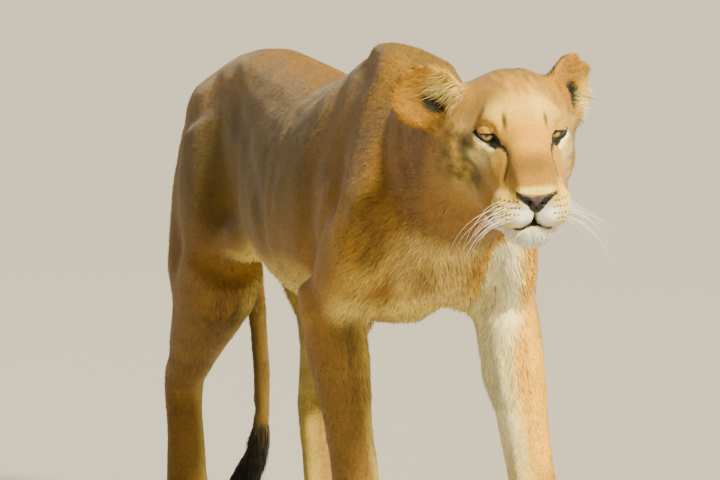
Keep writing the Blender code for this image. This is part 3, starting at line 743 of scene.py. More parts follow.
def by_eye(eye):
    """Whether points of an eye's frame are at its lids."""
    return (eye[:, 0] > -0.010) & (np.linalg.norm(eye, axis=1) < 0.045)


def face_share(local, behind=-0.17, before=-0.10):
    """1 on the face and crown, fading to 0 behind them."""
    return rise(local[:, 0], behind, before) * (np.abs(local[:, 2]) < 0.25)


def from_mouth(local):
    """How far points of the head's frame are from the line between the lips."""
    return np.minimum(*(distance_to(local, path) for path in both_sides(MOUTH)))


def leather_share(local):
    """1 on the bare leather of the nose: a wide V with rounded wings above a narrow foot."""
    across, up = np.abs(local[:, 1]), local[:, 2]
    start = WING_TOP + 0.004
    drop = np.clip((start - up) / (start - NOSE_FOOT), 0, 1)
    side_edge = FOOT_HALF + (WING_OUT - FOOT_HALF) * (1 - drop) - across
    top_edge = WING_TOP - 0.0030 * rise(-across, -0.026, -0.004) + 0.0020 * rise(across, 0.020, 0.034) - up
    groove = rise(0.0013 - across, -0.0006, 0.0006) * rise(up, -0.107, -0.105) * (up < NOSE_FOOT + 0.004)
    inside = np.minimum(np.minimum(side_edge, top_edge), up - NOSE_FOOT)
    return np.maximum(rise(inside, -0.0008, 0.0008), groove) * (local[:, 0] > 0.095)


def coat_paint(points, normals):
    """The coat's colour at points of the hide, with painted shade in some hollows and folds and painted light
    on the left foreleg.
    """
    local = seen_from(HEAD, points)
    off_face = 1 - face_share(local)
    paint = np.tile(TAWNY, (len(points), 1))
    x, y, z = points.T
    ahead, aside, up = local[:, 0], np.abs(local[:, 1]), local[:, 2]

    def lay(new, share):
        """Lays the new colour over the paint, by its share."""
        paint[:] = blended(paint, new, share)

    # the back, the tail, the pale belly and insides of the legs, the chest, and painted sunlight on the left
    # foreleg
    lay(UMBER, 0.35 * rise(z, 0.55, 0.80) * off_face)
    lay(UMBER, 0.35 * rise(normals[:, 2], 0.45, 0.95) * rise(z, 0.80, 0.90) * off_face)
    lay(BROWN, 0.8 * fade(distance_to(points, TAIL_LINE) / 0.075))
    trunk = rise(z, 0.46, 0.54) * (y > -0.60) * rise(-y, -0.42, -0.32)
    lay(CREAM, 0.95 * rise(-normals[:, 2], 0.10, 0.75) * rise(-z, -0.70, -0.54) * trunk)
    inward = rise(-normals[:, 0] * np.sign(x), 0.15, 0.75) * rise(-z, -0.60, -0.50)
    lay(CREAM, 0.85 * inward * (y < 0.75))
    chest = blob(points, (-0.03, -0.46, 0.63), (0.15, 0.16, 0.14))
    lay(BREAST, 0.8 * rise(chest, 0.1, 0.6) * off_face)
    # the left foreleg alone is painted lighter, as painted sunlight; its inner side is whiter still, partly
    # its own pale hair and partly painted light
    lit_left_leg = blob(points, (0.10, -0.44, 0.42), (0.12, 0.14, 0.40)) * off_face
    lay(FAWN, rise(lit_left_leg, 0.05, 0.4))
    pale_and_lit_side = rise(-normals[:, 0] - 0.50 * rise(-z, -0.56, -0.48), -0.30, 0.45) * rise(z, 0.16, 0.36)
    lay(PALE_AND_LIT_LEG, rise(lit_left_leg, 0.05, 0.3) * pale_and_lit_side)
    for new, centre, reach, strength in BODY_MARKS:
        for turn in (1, -1):
            mark = blob(points, body_side(centre, turn), np.array(reach) * MARK_SOFT)
            lay(new, strength * mark * off_face)
    lay(GREY_TAWNY, 0.55 * rise(-z, -0.60, -0.40) * (1 - rise(lit_left_leg, 0.0, 0.30)))
    for bar in range(BARS):
        height = LOWEST_BAR + BAR_STEP * bar + 0.02 * np.sin(9 * y)
        lay(BROWN, 0.20 * fade(np.abs(z - height) / 0.016) * (y > 0.35) * rise(-z, -0.60, -0.52))
    for new, centre, reach, strength in HEAD_MARKS:
        lay(new, strength * both(local, centre, np.array(reach) * MARK_SOFT))
    # streaks and spots of the cheeks and crown, and uneven patches over the body
    cheek = both(local, (-0.03, 0.090, -0.050), (0.10, 0.06, 0.08))
    crown = blob(local, (-0.07, 0, 0.08), (0.10, 0.09, 0.07))
    streaks = mottle(local * (0.35, 1, 1), 0.0075)
    spots = mottle(local * (0.6, 1, 0.8), 0.013)
    paint *= (1 + (0.40 * cheek + 0.40 * crown) * np.clip(streaks, -1.2, 1.2))[:, None]
    paint *= (1 + 0.60 * cheek * np.clip(spots, -1, 1))[:, None]
    paint *= (1 + 0.07 * mottle(points, 0.045) * off_face)[:, None]
    # the pale patch under each eye, its black rims widened with painted shade under the upper lid and in the
    # inner corner, and the tear line
    for side in SIDES.values():
        eye = seen_from(eye_frame(side), points)
        near = by_eye(eye)
        upper, lower, share = lid_arcs(eye, side)
        under = rise(-lower, 0.0014, 0.0026) * rise(lower, -0.0108, -0.0072)
        lay(EYE_PATCH, under * rise(1.15 - np.abs(share - 0.10), 0.0, 0.35) * near)
        # the upper lid's black edge, painted wider to hold the shade cast by the lid
        lid_rim_and_shade = rise(upper, -0.0054, -0.0034) * rise(lower, -0.0024, -0.0010)
        lay(BLACK, lid_rim_and_shade * rise(1.42 - np.abs(share), 0.0, 0.30) * near)
        corner = [(0, 0.0200 * side, -0.0004), (0, 0.0300 * side, 0.0016)]
        lay(BLACK, rise(-distance_to(eye * (0, 1, 1), corner), -0.0036, -0.0016) * near)
        # the tear line's widest black, at the inner corner, is a real dark line widened with painted shade
        tear = [(x, y * side, z) for x, y, z in TEAR_LINE]
        stretches = ((tear[:7], 0.0034, BLACK), (tear[6:10], 0.0022, BLACK), (tear[9:], 0.0020, BROWN))
        for stretch, half_width, new in stretches:
            lay(new, rise(-distance_to(local, stretch), -half_width - 0.0014, -half_width + 0.0004))
    # the lips, the nose, the spots of the whisker pads and the tail's tip
    lip = 0.0014 + 0.45 * np.maximum(-0.1000 - up, 0) - aside
    lip_ends = rise(up, -0.1150, -0.1130) * rise(-up, 0.086, 0.088)
    lay(BLACK, rise(lip, -0.0008, 0.0008) * lip_ends * (ahead > 0.09))
    wide = 0.0021 + 0.0010 * rise(-aside, -0.018, -0.006)
    lay(BLACK, rise(wide - from_mouth(local), -0.0012, 0.0012))
    lay(BLACK, leather_share(local))
    on_pads = np.flatnonzero((ahead > 0.05) & (up < -0.05) & (up > -0.11))
    from_spots = np.full(len(points), np.inf)
    for spot in PAD_SPOTS:
        from_spots[on_pads] = np.minimum(from_spots[on_pads], np.linalg.norm(local[on_pads] - spot, axis=1))
    lay(BLACK, 0.95 * rise(-from_spots, -0.0024, -0.0014))
    tip = rise(blob(points, TUFT_MIDDLE, (0.13, 0.13, 0.125)), 0.02, 0.10)
    lay(BLACK, tip * rise(TUFT_HIGH[2] - z, -0.02, 0.04))
    # each ear's cup with its pale margin and its hollow darkened as painted shade, the ear on her right more,
    # and the black patch behind it
    for name in EARS:
        ear = seen_from(ear_frame(name), points)
        on_ear = rise(ear[:, 2], 0.000, 0.022) * (np.abs(ear[:, 1]) < 0.09) * (np.abs(ear[:, 0]) < 0.07)
        on_ear = on_ear * (ear[:, 2] < 0.15)
        front = rise(normals @ ear_way(name, (1, 0, 0)), -0.2, 0.35)
        lay(CUP, on_ear * front * 0.95)
        pale_side = rise(ear[:, 1], 0.004, 0.030) * rise(-ear[:, 2], -0.085, -0.050)
        lay(CUP_MARGIN, on_ear * front * pale_side * 0.60)
        # the umber in the cup and the black in its deepest hollow are painted shade
        cup = blob(ear, (-0.006, 0, 0.050), (0.060, 0.050, 0.060))
        lay(UMBER, on_ear * front * cup * CUP_PAINTED_SHADE[name])
        hollow_shade = blob(ear, (-0.006, 0, 0.034), (0.040, 0.032, 0.042))
        lay(BLACK, on_ear * front * rise(hollow_shade, 0.12, 0.6) * 0.95)
        patch = rise(ear[:, 2], 0.050, 0.075) * rise(-ear[:, 2], -0.118, -0.104)
        lay(BLACK, on_ear * (1 - front) * patch * 0.92)
    # the bare pads underfoot
    lay(PAD, rise(-normals[:, 2], 0.6, 0.9) * (z < 0.02))
    return np.clip(paint, 0, 1) ** RICHER


def add_paint(mesh, paint):
    attribute = mesh.color_attributes.new("coat", "FLOAT_COLOR", "POINT")
    table = np.ones((len(paint), 4))
    table[:, :3] = paint
    attribute.data.foreach_set("color", table.ravel())


def painted(material):
    """The colour laid on the mesh, as a node's output."""
    node = add_node(material, "Attribute", {}, {})
    node.attribute_name = "coat"
    return node.outputs["Color"]


def feed(material, sources):
    """Links the sources into the material's shader."""
    shader = material.node_tree.nodes["Principled BSDF"]
    for socket, source in sources.items():
        material.node_tree.links.new(source, shader.inputs[socket])


add_paint(skin.data, coat_paint(points, normals))
skin.data.shade_smooth()

# The hide reads the coat's own colours, ticked with darker and lighter hairs.
TICKING = 0.30
hide = new_material("hide", {"Roughness": 0.75, "Sheen Weight": 0.12, "Specular IOR Level": 0.25})
place = add_node(hide, "TexCoord", {}, {}).outputs["Object"]
fine = add_node(hide, "TexNoise", {"Scale": 260, "Detail": 3}, {"Vector": place})
broad = add_node(hide, "TexNoise", {"Scale": 22, "Detail": 4}, {"Vector": place})
noises = {0: broad.outputs["Fac"], 2: fine.outputs["Fac"]}
mixed = add_node(hide, "Math", {1: 0.6}, noises, "MULTIPLY_ADD")
spans = {"From Min": 0.45, "From Max": 1.15, "To Min": 1 - TICKING, "To Max": 1 + TICKING}
spread = add_node(hide, "MapRange", spans, {"Value": mixed.outputs["Value"]})
tone = add_node(hide, "VectorMath", {}, {0: painted(hide), "Scale": spread.outputs["Result"]}, "SCALE")
bump = add_node(hide, "Bump", {"Strength": 0.35, "Distance": 0.0015}, {"Height": fine.outputs["Fac"]})
feed(hide, {"Base Color": tone.outputs["Vector"], "Normal": bump.outputs["Normal"]})
skin.data.materials.clear()
skin.data.materials.append(hide)
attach(skin, "root")
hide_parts(*(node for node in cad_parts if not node.startswith(("eye", "nose"))))

# ---------------------------------------------------------------- eyes
# Each eyeball is a wet ball with a dark rim, an amber iris and a round pupil, looking a little to
# her right. The lids of the hide hold it.
GAZE = {"left": (0, -10, -6), "right": (0, -10, -25)}
IRIS, PUPIL = 0.55, 0.15  # half angles seen from the ball's middle
AMBER_DARK, AMBER_LIGHT, AMBER_RIM = colour(138, 100, 30), colour(196, 160, 62), colour(120, 70, 22)
EYE_EDGE, PUPIL_BLACK = colour(26, 16, 10), colour(6, 5, 4)
glass = new_material("eye", {"Roughness": 0.25, "Coat Weight": 0.7, "Coat Roughness": 0.03})
feed(glass, {"Base Color": painted(glass)})
for word, side in SIDES.items():
    x, y, z = EYE_SEAT
    seat = placed((x, y * side, z), GAZE[word], HEAD)
    ball = bmesh.new()
    bmesh.ops.create_uvsphere(ball, u_segments=96, v_segments=64, radius=EYE_RADIUS)
    bmesh.ops.rotate(ball, verts=ball.verts, matrix=Matrix.Rotation(math.radians(90), 3, "Y"))
    local = np.array([corner.co for corner in ball.verts])
    bmesh.ops.transform(ball, matrix=seat, verts=ball.verts)
    mesh = mesh_of(ball, "eye_" + word)
    angle = np.arccos(np.clip(local[:, 0] / EYE_RADIUS, -1, 1))
    turn = np.arctan2(local[:, 2], local[:, 1])
    streak = 0.5 + 0.25 * np.sin(17 * turn + 2 * np.sin(5 * turn)) + 0.25 * np.sin(41 * turn)
    eye_paint = AMBER_DARK + (AMBER_LIGHT - AMBER_DARK) * streak[:, None]
    eye_paint = blended(eye_paint, AMBER_RIM, rise(angle, 0.36, IRIS))
    eye_paint = blended(eye_paint, EYE_EDGE, rise(angle, IRIS - 0.05, IRIS + 0.02))
    eye_paint = blended(eye_paint, PUPIL_BLACK, rise(-angle, -PUPIL - 0.03, -PUPIL + 0.01))
    add_paint(mesh, eye_paint)
    mesh.shade_smooth()
    mesh.materials.append(glass)
    eye = new_object("eyeball_" + word, mesh)
    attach(eye, "root")
    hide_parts("eye_" + word)

# ---------------------------------------------------------------- nose
# Bare dark leather with two comma nostrils: a pebbled damp skin that stands just proud of the short
# fur. It is a thin shell laid over the hide and fast to it all round.
LEATHER_LIFT, LEATHER_THICKNESS = 0.0009, 0.0022
RIM_PASSES = 3  # of evening out the leather's edge
LEATHER, NOSTRIL_SHADE = (0.17, 0.105, 0.088), np.array((0.008, 0.006, 0.005))
NOSTRIL_EDGE = [(0.030, -0.0560), (0.0165, -0.0640), (0.0070, -0.0770)]  # across and up
nose_shape = bmesh.new()
nose_shape.from_mesh(skin.data)
on_leather = leather_share(in_head) > 0.5
outside = [face for face in nose_shape.faces if not all(on_leather[corner.index] for corner in face.verts)]
bmesh.ops.delete(nose_shape, geom=outside, context="FACES")
nose_shape.normal_update()
for corner in nose_shape.verts:
    corner.co += corner.normal * LEATHER_LIFT
rim = list({corner for edge in nose_shape.edges if edge.is_boundary for corner in edge.verts})
for number in range(RIM_PASSES):
    beside = [[edge.other_vert(end).co for edge in end.link_edges if edge.is_boundary] for end in rim]
    even = [sum(places, Vector()) / len(places) for places in beside]
    for corner, place in zip(rim, even):
        corner.co = corner.co.lerp(place, 0.5)
bmesh.ops.solidify(nose_shape, geom=nose_shape.faces[:], thickness=LEATHER_THICKNESS)
bmesh.ops.recalc_face_normals(nose_shape, faces=nose_shape.faces[:])
nose_mesh = mesh_of(nose_shape, "nose_leather")
nose_mesh.color_attributes.remove(nose_mesh.color_attributes["coat"])
in_nose = seen_from(HEAD, table_of(nose_mesh.vertices, "co"))
folded = np.stack([np.abs(in_nose[:, 1]), in_nose[:, 2]], axis=1)
# the nostrils' openings and the folds beside them are painted near black: painted shade
dark = rise(-distance_to(folded, NOSTRIL_EDGE), -0.0092, -0.0066)
add_paint(nose_mesh, blended(np.tile(LEATHER, (len(in_nose), 1)), NOSTRIL_SHADE, dark))

damp = new_material("nose_leather", {"Roughness": 0.42, "Coat Weight": 0.15})
place = add_node(damp, "TexCoord", {}, {}).outputs["Object"]
pebble = add_node(damp, "TexVoronoi", {"Scale": 700}, {"Vector": place})
patches = add_node(damp, "TexNoise", {"Scale": 90}, {"Vector": place})
ramp = add_node(damp, "ValToRGB", {}, {"Fac": patches.outputs["Fac"]})
for stop, position, grey in zip(ramp.color_ramp.elements, (0.40, 0.75), (0.40, 1.0)):
    stop.position = position
    stop.color = (grey, grey, grey, 1)
patched = add_node(damp, "VectorMath", {}, {0: painted(damp), 1: ramp.outputs["Color"]}, "MULTIPLY")
relief = {"Height": pebble.outputs["Distance"]}
bump = add_node(damp, "Bump", {"Strength": 0.5, "Distance": 0.0006}, relief)
feed(damp, {"Base Color": patched.outputs["Vector"], "Normal": bump.outputs["Normal"]})
nose_mesh.materials.clear()
nose_mesh.materials.append(damp)
nose_mesh.shade_smooth()
leather = new_object("nose_leather", nose_mesh)
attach(leather, "root")
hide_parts("nose")

# ---------------------------------------------------------------- whiskers
# Long pale bristles in rows on both whisker pads, rooted in the hide, thick at the root and bending
# outward and down to a fine tip.
WHISKER_ROWS = {-0.071: 0.100, -0.080: 0.125, -0.089: 0.130, -0.097: 0.105}  # height on the pad: length
WHISKER_HALF, WHISKER_TAPER = 0.00044, 0.8  # half the thickness at the root, and what the tip loses
WHISKER_SINK = 0.002  # of each root in the pad
FIRST_ROOT, ROOT_STEP, IN_A_ROW = 0.036, 0.0066, 4  # the first two across the pad
RINGS, ROUND = 9, 5  # stretches along a whisker and sides around it
random = np.random.default_rng(5)
bristles, bristle_faces = [], []


def bristle(root, way, bend, length):
    """A tapering hair from the root, in the head's frame."""
    way = np.array(way) / np.linalg.norm(way)
    here = np.array(root) - way * WHISKER_SINK
    for ring in range(RINGS + 1):
        share = ring / RINGS
        ahead = way + np.array(bend) * share**1.4
        ahead /= np.linalg.norm(ahead)
        across = np.cross(ahead, (0.3, 0.1, 1))
        across /= np.linalg.norm(across)
        third = np.cross(ahead, across)
        start = len(bristles)
        for corner in range(ROUND):
            angle = corner * math.tau / ROUND
            around = across * math.cos(angle) + third * math.sin(angle)
            bristles.append(here + around * WHISKER_HALF * (1 - WHISKER_TAPER * share))
            if ring:
                after = (corner + 1) % ROUND
                bristle_faces.append(
                    (start - ROUND + corner, start - ROUND + after, start + after, start + corner)
                )
        if ring in (0, RINGS):
            bristle_faces.append(tuple(range(start, start + ROUND)))
        here = here + ahead * length / RINGS


for side in SIDES.values():
    for height, length in WHISKER_ROWS.items():
        for number in range(IN_A_ROW):
            across = FIRST_ROOT + ROOT_STEP * number + random.normal(0, 0.0010)
            root = on_face(across * side, height + random.normal(0, 0.0008))
            way = (0.35 - 0.12 * number, side, -0.10 - 0.08 * number + random.normal(0, 0.12))
            bend = (-0.45, -0.35 * side, -1.7 + random.normal(0, 0.4))
            bristle(root, way, bend, length * random.uniform(0.55, 1.1))
whisker_mesh = bpy.data.meshes.new("whiskers")
whisker_mesh.from_pydata([tuple(HEAD @ Vector(place)) for place in bristles], [], bristle_faces)
whisker_shape = bmesh.new()
whisker_shape.from_mesh(whisker_mesh)
bmesh.ops.recalc_face_normals(whisker_shape, faces=whisker_shape.faces[:])
whisker_shape.to_mesh(whisker_mesh)
whisker_shape.free()
whisker_mesh.shade_smooth()
pale = new_material("whisker", {"Base Color": (0.90, 0.86, 0.76, 1), "Roughness": 0.35})
whisker_mesh.materials.append(pale)
whiskers = new_object("whiskers", whisker_mesh)
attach(whiskers, "root")

# ---------------------------------------------------------------- claws
# Four hooked claws of dark horn to a paw, drawn back so that only their tips show from the fur.
# Each is a flattened cone, bent along its length and rooted in its toe.
CLAW_LENGTH, CLAW_ROOT, CLAW_TIP = 0.018, 0.0042, 0.0005  # the last two are radii
CLAW_PLACES = (-0.040, -0.014, 0.014, 0.040)  # across the paw
CLAW_RISE, CLAW_SINK = 0.026, 0.001  # of the claws' middles above the floor, and into the toe
CLAW_HOOK, CLAW_FLAT = 9, 0.7  # bend over the length, and width beside height
CLAW_DROOP = Matrix.Rotation(math.radians(128), 4, "X")
claw_shape = bmesh.new()
for paw in ("forepaw_left", "forepaw_right", "hindpaw_left", "hindpaw_right"):
    low, high = (Vector(end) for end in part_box(paw))
    middle = (low.x + high.x) / 2
    for across in CLAW_PLACES:
        hit = tree.ray_cast(Vector((middle + across, low.y - 0.1, CLAW_RISE)), Vector((0, 1, 0)))
        claw = bmesh.ops.create_cone(
            claw_shape, cap_ends=True, segments=10, radius1=CLAW_ROOT, radius2=CLAW_TIP, depth=CLAW_LENGTH
        )["verts"]
        for corner in claw:
            corner.co.y += CLAW_HOOK * (corner.co.z + CLAW_LENGTH / 2) ** 2
            corner.co.x *= CLAW_FLAT
        seat = Matrix.Translation(hit[0] + Vector((0, CLAW_SINK, 0)))
        bmesh.ops.transform(claw_shape, matrix=seat @ CLAW_DROOP, verts=claw)
bmesh.ops.recalc_face_normals(claw_shape, faces=claw_shape.faces[:])
claw_mesh = mesh_of(claw_shape, "claws")
claw_mesh.shade_smooth()
horn = new_material("claw_horn", {"Base Color": (0.06, 0.045, 0.035, 1), "Roughness": 0.3})
claw_mesh.materials.append(horn)
claws = new_object("claws", claw_mesh)
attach(claws, "root")

# ---------------------------------------------------------------- coat
# Short hair over the whole hide in small tufts that lie the way her coat does, from the nose back
# over the body and down the legs, with longer locks on the ears, chin, cheeks, throat, belly, legs
# and tail. Each tuft is rooted just under the hide.
NOSE_TIP = (0.150, 0, -0.040)
FLOW_PASSES = 30  # of evening out the lie
MOUTH_GAP = 0.0026  # beside the line of the mouth, where no hair grows
SOLE_GAP = 0.006  # above the floor, where no hair grows


def lie_of_coat():
    """The way the hair lies at each corner of the hide: away from the nose tip, over the hide."""
    quads = np.array([tuple(face.vertices) for face in skin.data.polygons if face.loop_total == 4])
    links = np.concatenate([edges, quads[:, [0, 2]], quads[:, [1, 3]]])
    both_ways = np.concatenate([links, links[:, ::-1]])
    both_ways = both_ways[np.argsort(both_ways[:, 0], kind="stable")]
    starts = np.searchsorted(both_ways[:, 0], np.arange(len(points) + 1)).tolist()
    lengths = np.linalg.norm(points[both_ways[:, 0]] - points[both_ways[:, 1]], axis=1).tolist()
    others = both_ways[:, 1].tolist()
    first = int(np.argmin(np.linalg.norm(in_head - NOSE_TIP, axis=1)))
    far = [math.inf] * len(points)
    far[first] = 0.0
    waiting = [(0.0, first)]
    while waiting:
        so_far, here = heapq.heappop(waiting)
        if so_far > far[here]:
            continue
        for link in range(starts[here], starts[here + 1]):
            there = so_far + lengths[link]
            if there < far[others[link]]:
                far[others[link]] = there
                heapq.heappush(waiting, (there, others[link]))
    far = np.array(far)
    far[~np.isfinite(far)] = 0
    step = points[both_ways[:, 1]] - points[both_ways[:, 0]]
    gain = (far[both_ways[:, 1]] - far[both_ways[:, 0]]) / np.maximum((step**2).sum(axis=1), 1e-12)
    flow = [np.bincount(both_ways[:, 0], gain * step[:, axis], len(points)) for axis in range(3)]
    flow = np.stack(flow, axis=1)
    for number in range(FLOW_PASSES):
        flow -= normals * (flow * normals).sum(axis=1)[:, None]
        flow /= np.maximum(np.linalg.norm(flow, axis=1), 1e-9)[:, None]
        flow = 0.4 * flow + 0.6 * neighbour_mean(flow, edges)
    return flow


flow = lie_of_coat()

# the hide's own unwrap, on which each tuft keeps a small patch at its root
bpy.context.view_layer.objects.active = skin
skin.select_set(True)
bpy.ops.object.mode_set(mode="EDIT")
bpy.ops.mesh.select_all(action="SELECT")
bpy.ops.uv.smart_project(angle_limit=math.radians(66), island_margin=0.002)
bpy.ops.object.mode_set(mode="OBJECT")
unwrap = table_of(skin.data.uv_layers.active.data, "uv", 2)
skin.data.uv_layers.remove(skin.data.uv_layers.active)
skin.data.calc_loop_triangles()
corners = table_of(skin.data.loop_triangles, "vertices", 3).astype(int)
loops = table_of(skin.data.loop_triangles, "loops", 3).astype(int)
cross = np.cross(points[corners[:, 1]] - points[corners[:, 0]], points[corners[:, 2]] - points[corners[:, 0]])
areas = np.linalg.norm(cross, axis=1) / 2
random = np.random.default_rng(11)


def unit(vectors):
    return vectors / np.maximum(np.linalg.norm(vectors, axis=1), 1e-9)[:, None]


def bare_share(places):
    """1 where no hair grows: between the lids, on the nose, along the mouth and under the paws."""
    local = seen_from(HEAD, places)
    bare = leather_share(local)
    for side in SIDES.values():
        eye = seen_from(eye_frame(side), places)
        bare = np.maximum(bare, (inside_lids(eye, side) > -0.0030) & by_eye(eye))
    bare = np.maximum(bare, from_mouth(local) < MOUTH_GAP)
    return np.maximum(bare, places[:, 2] < SOLE_GAP)


def roots_on_hide(density, count):
    """Random roots on the hide, spread by the density: places, normals, lies and unwrap places."""
    weights = areas * density
    chosen = np.searchsorted(np.cumsum(weights), random.random(count) * weights.sum())
    chosen = np.minimum(chosen, len(corners) - 1)
    a, b = random.random((2, count))
    folded = a + b > 1
    a, b = np.where(folded, 1 - a, a), np.where(folded, 1 - b, b)
    shares = np.stack([1 - a - b, a, b], axis=1)[:, :, None]
    places = (points[corners[chosen]] * shares).sum(axis=1)
    outs = unit((normals[corners[chosen]] * shares).sum(axis=1))
    lies = (flow[corners[chosen]] * shares).sum(axis=1)
    lies = unit(lies - outs * (lies * outs).sum(axis=1)[:, None])
    patches = (unwrap[loops[chosen]] * shares).sum(axis=1)
    keep = bare_share(places) < 0.5
    return places[keep], outs[keep], lies[keep], patches[keep]


hair = new_material("short_hair", {"Roughness": 0.6, "Specular IOR Level": 0.3, "Sheen Weight": 0.1})
feed(hair, {"Base Color": painted(hair)})
TUFT_FACES = {  # by the number of rings between root and tip
    1: [(0, 1, 2), (1, 0, 3), (2, 1, 3), (0, 2, 3)],
    2: [(0, 1, 2), (1, 0, 3), (1, 3, 4), (2, 1, 4), (2, 4, 5), (0, 2, 5), (0, 5, 3),
        (4, 3, 6), (5, 4, 6), (3, 5, 6)],
}
PIECE_TRIANGLES = 196000
SINK = 0.0012  # of each root under the hide
CLUMP = 0.75  # how much the clumps of the coat differ in tone
ROOT_TONE = 0.80  # of the hair's colour at its root
SWIRL = 0.16  # how far neighbouring tufts turn from the lie
TICKED, TICK_TONE = 0.16, 0.6  # share of tufts with a darker tip, and that tip's tone
OWN_SHADE = 0.35  # share of a tuft's own normals beside the hide's
RING_HALVES = (0.5, 0.42)  # of a tuft's width, from the root outward
OUTER_LIFT = 0.4  # share of its lift that a long tuft keeps past its middle


def tuft_pieces(name, roots, lengths, widths, lifts, droop, rings, tone, tip, tint=None):
    """Joined tufts, split into pieces of under 200,000 triangles."""
    places, outs, lies, patches = roots
    count = len(places)
    turn = random.normal(0, SWIRL, count)[:, None]
    sides = unit(np.cross(lies, outs))
    lies = unit(lies + sides * turn)
    sides = unit(np.cross(lies, outs))
    lengths = lengths * random.uniform(0.75, 1.2, count)
    lifts = lifts * random.uniform(0.7, 1.3, count)
    start = places - outs * SINK
    down = np.array((0, 0, -1.0))
    ahead = unit(lies * np.cos(lifts)[:, None] + outs * np.sin(lifts)[:, None])
    spine = [start]
    if rings == 2:
        spine.append(start + ahead * (lengths * 0.5)[:, None])
        lifts = lifts * OUTER_LIFT
        ahead = unit(lies * np.cos(lifts)[:, None] + outs * np.sin(lifts)[:, None] + down * droop)
        spine.append(spine[-1] + ahead * (lengths * 0.5)[:, None])
    else:
        spine.append(start + ahead * lengths[:, None])
    corners_of = []
    for ring in range(rings):
        half = (widths * RING_HALVES[ring])[:, None]
        corners_of += [spine[ring] + sides * half, spine[ring] + outs * half, spine[ring] - sides * half]
    corners_of.append(spine[-1])
    width_of = len(corners_of)
    table = np.stack(corners_of, axis=1)
    # the tufts take the hide's paint, its painted shade and light included
    base = coat_paint(places, outs)
    if tint is not None:
        base = blended(base, tint, random.uniform(0.4, 1.0, count))
    local = seen_from(HEAD, places)
    in_face = face_share(local)
    stretched = places - lies * (places * lies).sum(axis=1)[:, None] * 0.5
    broad = mottle(stretched, 0.011)
    clumps = 0.6 * broad + 0.4 * mottle(stretched[:, ::-1], 0.0065) * (1 - in_face)
    clumps += in_face * (0.30 * mottle(local[:, ::-1] * (1, 1, 0.6), 0.0050) - 0.45 * broad)
    base *= (1 + CLUMP * np.clip(clumps, -1.3, 1.3))[:, None]
    base *= (1 + random.normal(0, tone, count))[:, None]
    base *= 1 + random.normal(0, 0.03, (count, 3))
    strength = np.array([ROOT_TONE] * 3 + [1.0] * 3 * (rings - 1) + [tip])
    paints = np.clip(base[:, None, :] * strength[None, :, None], 0, 1)
    ticked = random.random(count) < TICKED
    paints[ticked, -1] *= TICK_TONE
    # each corner's place in the tuft's own patch of the hide's unwrap
    patch = [(0.0015, -0.0015), (0, -0.0006), (-0.0015, -0.0015)]
    patch += [(0.0009, 0.0003), (0, 0.0008), (-0.0009, 0.0003)] if rings == 2 else []
    patch = np.array(patch + [(0, 0.0015)])
    spots = patches[:, None, :] + patch[None, :, :]
    faces = np.array(TUFT_FACES[rings])
    per_piece = PIECE_TRIANGLES // len(faces)
    for number, begin in enumerate(range(0, count, per_piece)):
        rows = slice(begin, begin + per_piece)
        made = table[rows]
        triangles = (np.arange(len(made))[:, None, None] * width_of + faces).reshape(-1, 3)
        mesh = bpy.data.meshes.new(name)
        mesh.vertices.add(made.shape[0] * width_of)
        mesh.vertices.foreach_set("co", made.ravel())
        mesh.loops.add(triangles.size)
        mesh.loops.foreach_set("vertex_index", triangles.ravel())
        mesh.polygons.add(len(triangles))
        mesh.polygons.foreach_set("loop_start", np.arange(0, triangles.size, 3))
        mesh.update(calc_edges=True)
        add_paint(mesh, paints[rows].reshape(-1, 3))
        unwrap_of = spots[rows].reshape(-1, 2)[triangles.ravel()]
        mesh.uv_layers.new(name="OFBake").data.foreach_set("uv", unwrap_of.ravel())
        mesh.shade_smooth()
        own = unit(table_of(mesh.vertex_normals, "vector"))
        soft = unit(own * OWN_SHADE + np.repeat(outs[rows], width_of, axis=0))
        mesh.normals_split_custom_set_from_vertices(soft)
        mesh.materials.append(hair)
        piece = new_object(name if count <= per_piece else f"{name}_{number + 1}", mesh)
        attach(piece, "root")


# Where the hair grows: the middles of the hide's triangles, in the world and in the head's frame.
middles = points[corners].mean(axis=1)
facing = unit(normals[corners].mean(axis=1))
x, y, z = middles.T
local = seen_from(HEAD, middles)
ahead, aside, up = local[:, 0], np.abs(local[:, 1]), local[:, 2]

in_face = face_share(local, -0.17, -0.12) * (aside < 0.22)
density = 1 + 1.8 * in_face + 2.5 * in_face * rise(ahead, -0.02, 0.05)
density = density * (1 + 0.6 * rise(-z, -0.25, -0.1))
SHORT_TUFTS = 285000
roots = roots_on_hide(density, SHORT_TUFTS)


def coat_lengths(places, local):
    """The hair's length by place."""
    x, z = places[:, 0], places[:, 2]
    ahead, aside, up = local[:, 0], np.abs(local[:, 1]), local[:, 2]
    in_face = face_share(local, -0.15, -0.09) * (aside < 0.2)
    lengths = np.full(len(places), 0.012)
    lengths += 0.006 * rise(-z, -0.60, -0.50) * (z > 0.40) * (np.abs(x) < 0.13)
    lengths += (0.007 - lengths) * rise(-z, -0.30, -0.10)
    ruff = fade(np.abs(ahead + 0.13) / 0.09) * rise(-up, -0.02, 0.03)
    lengths += (0.017 - lengths) * ruff * (up > -0.3) * (aside < 0.2)
    lengths += (0.0065 - lengths) * in_face
    lengths += (0.0040 - lengths) * in_face * rise(ahead, 0.02, 0.10)
    lengths += (0.011 - lengths) * in_face * rise(-up, 0.125, 0.145)
    return lengths


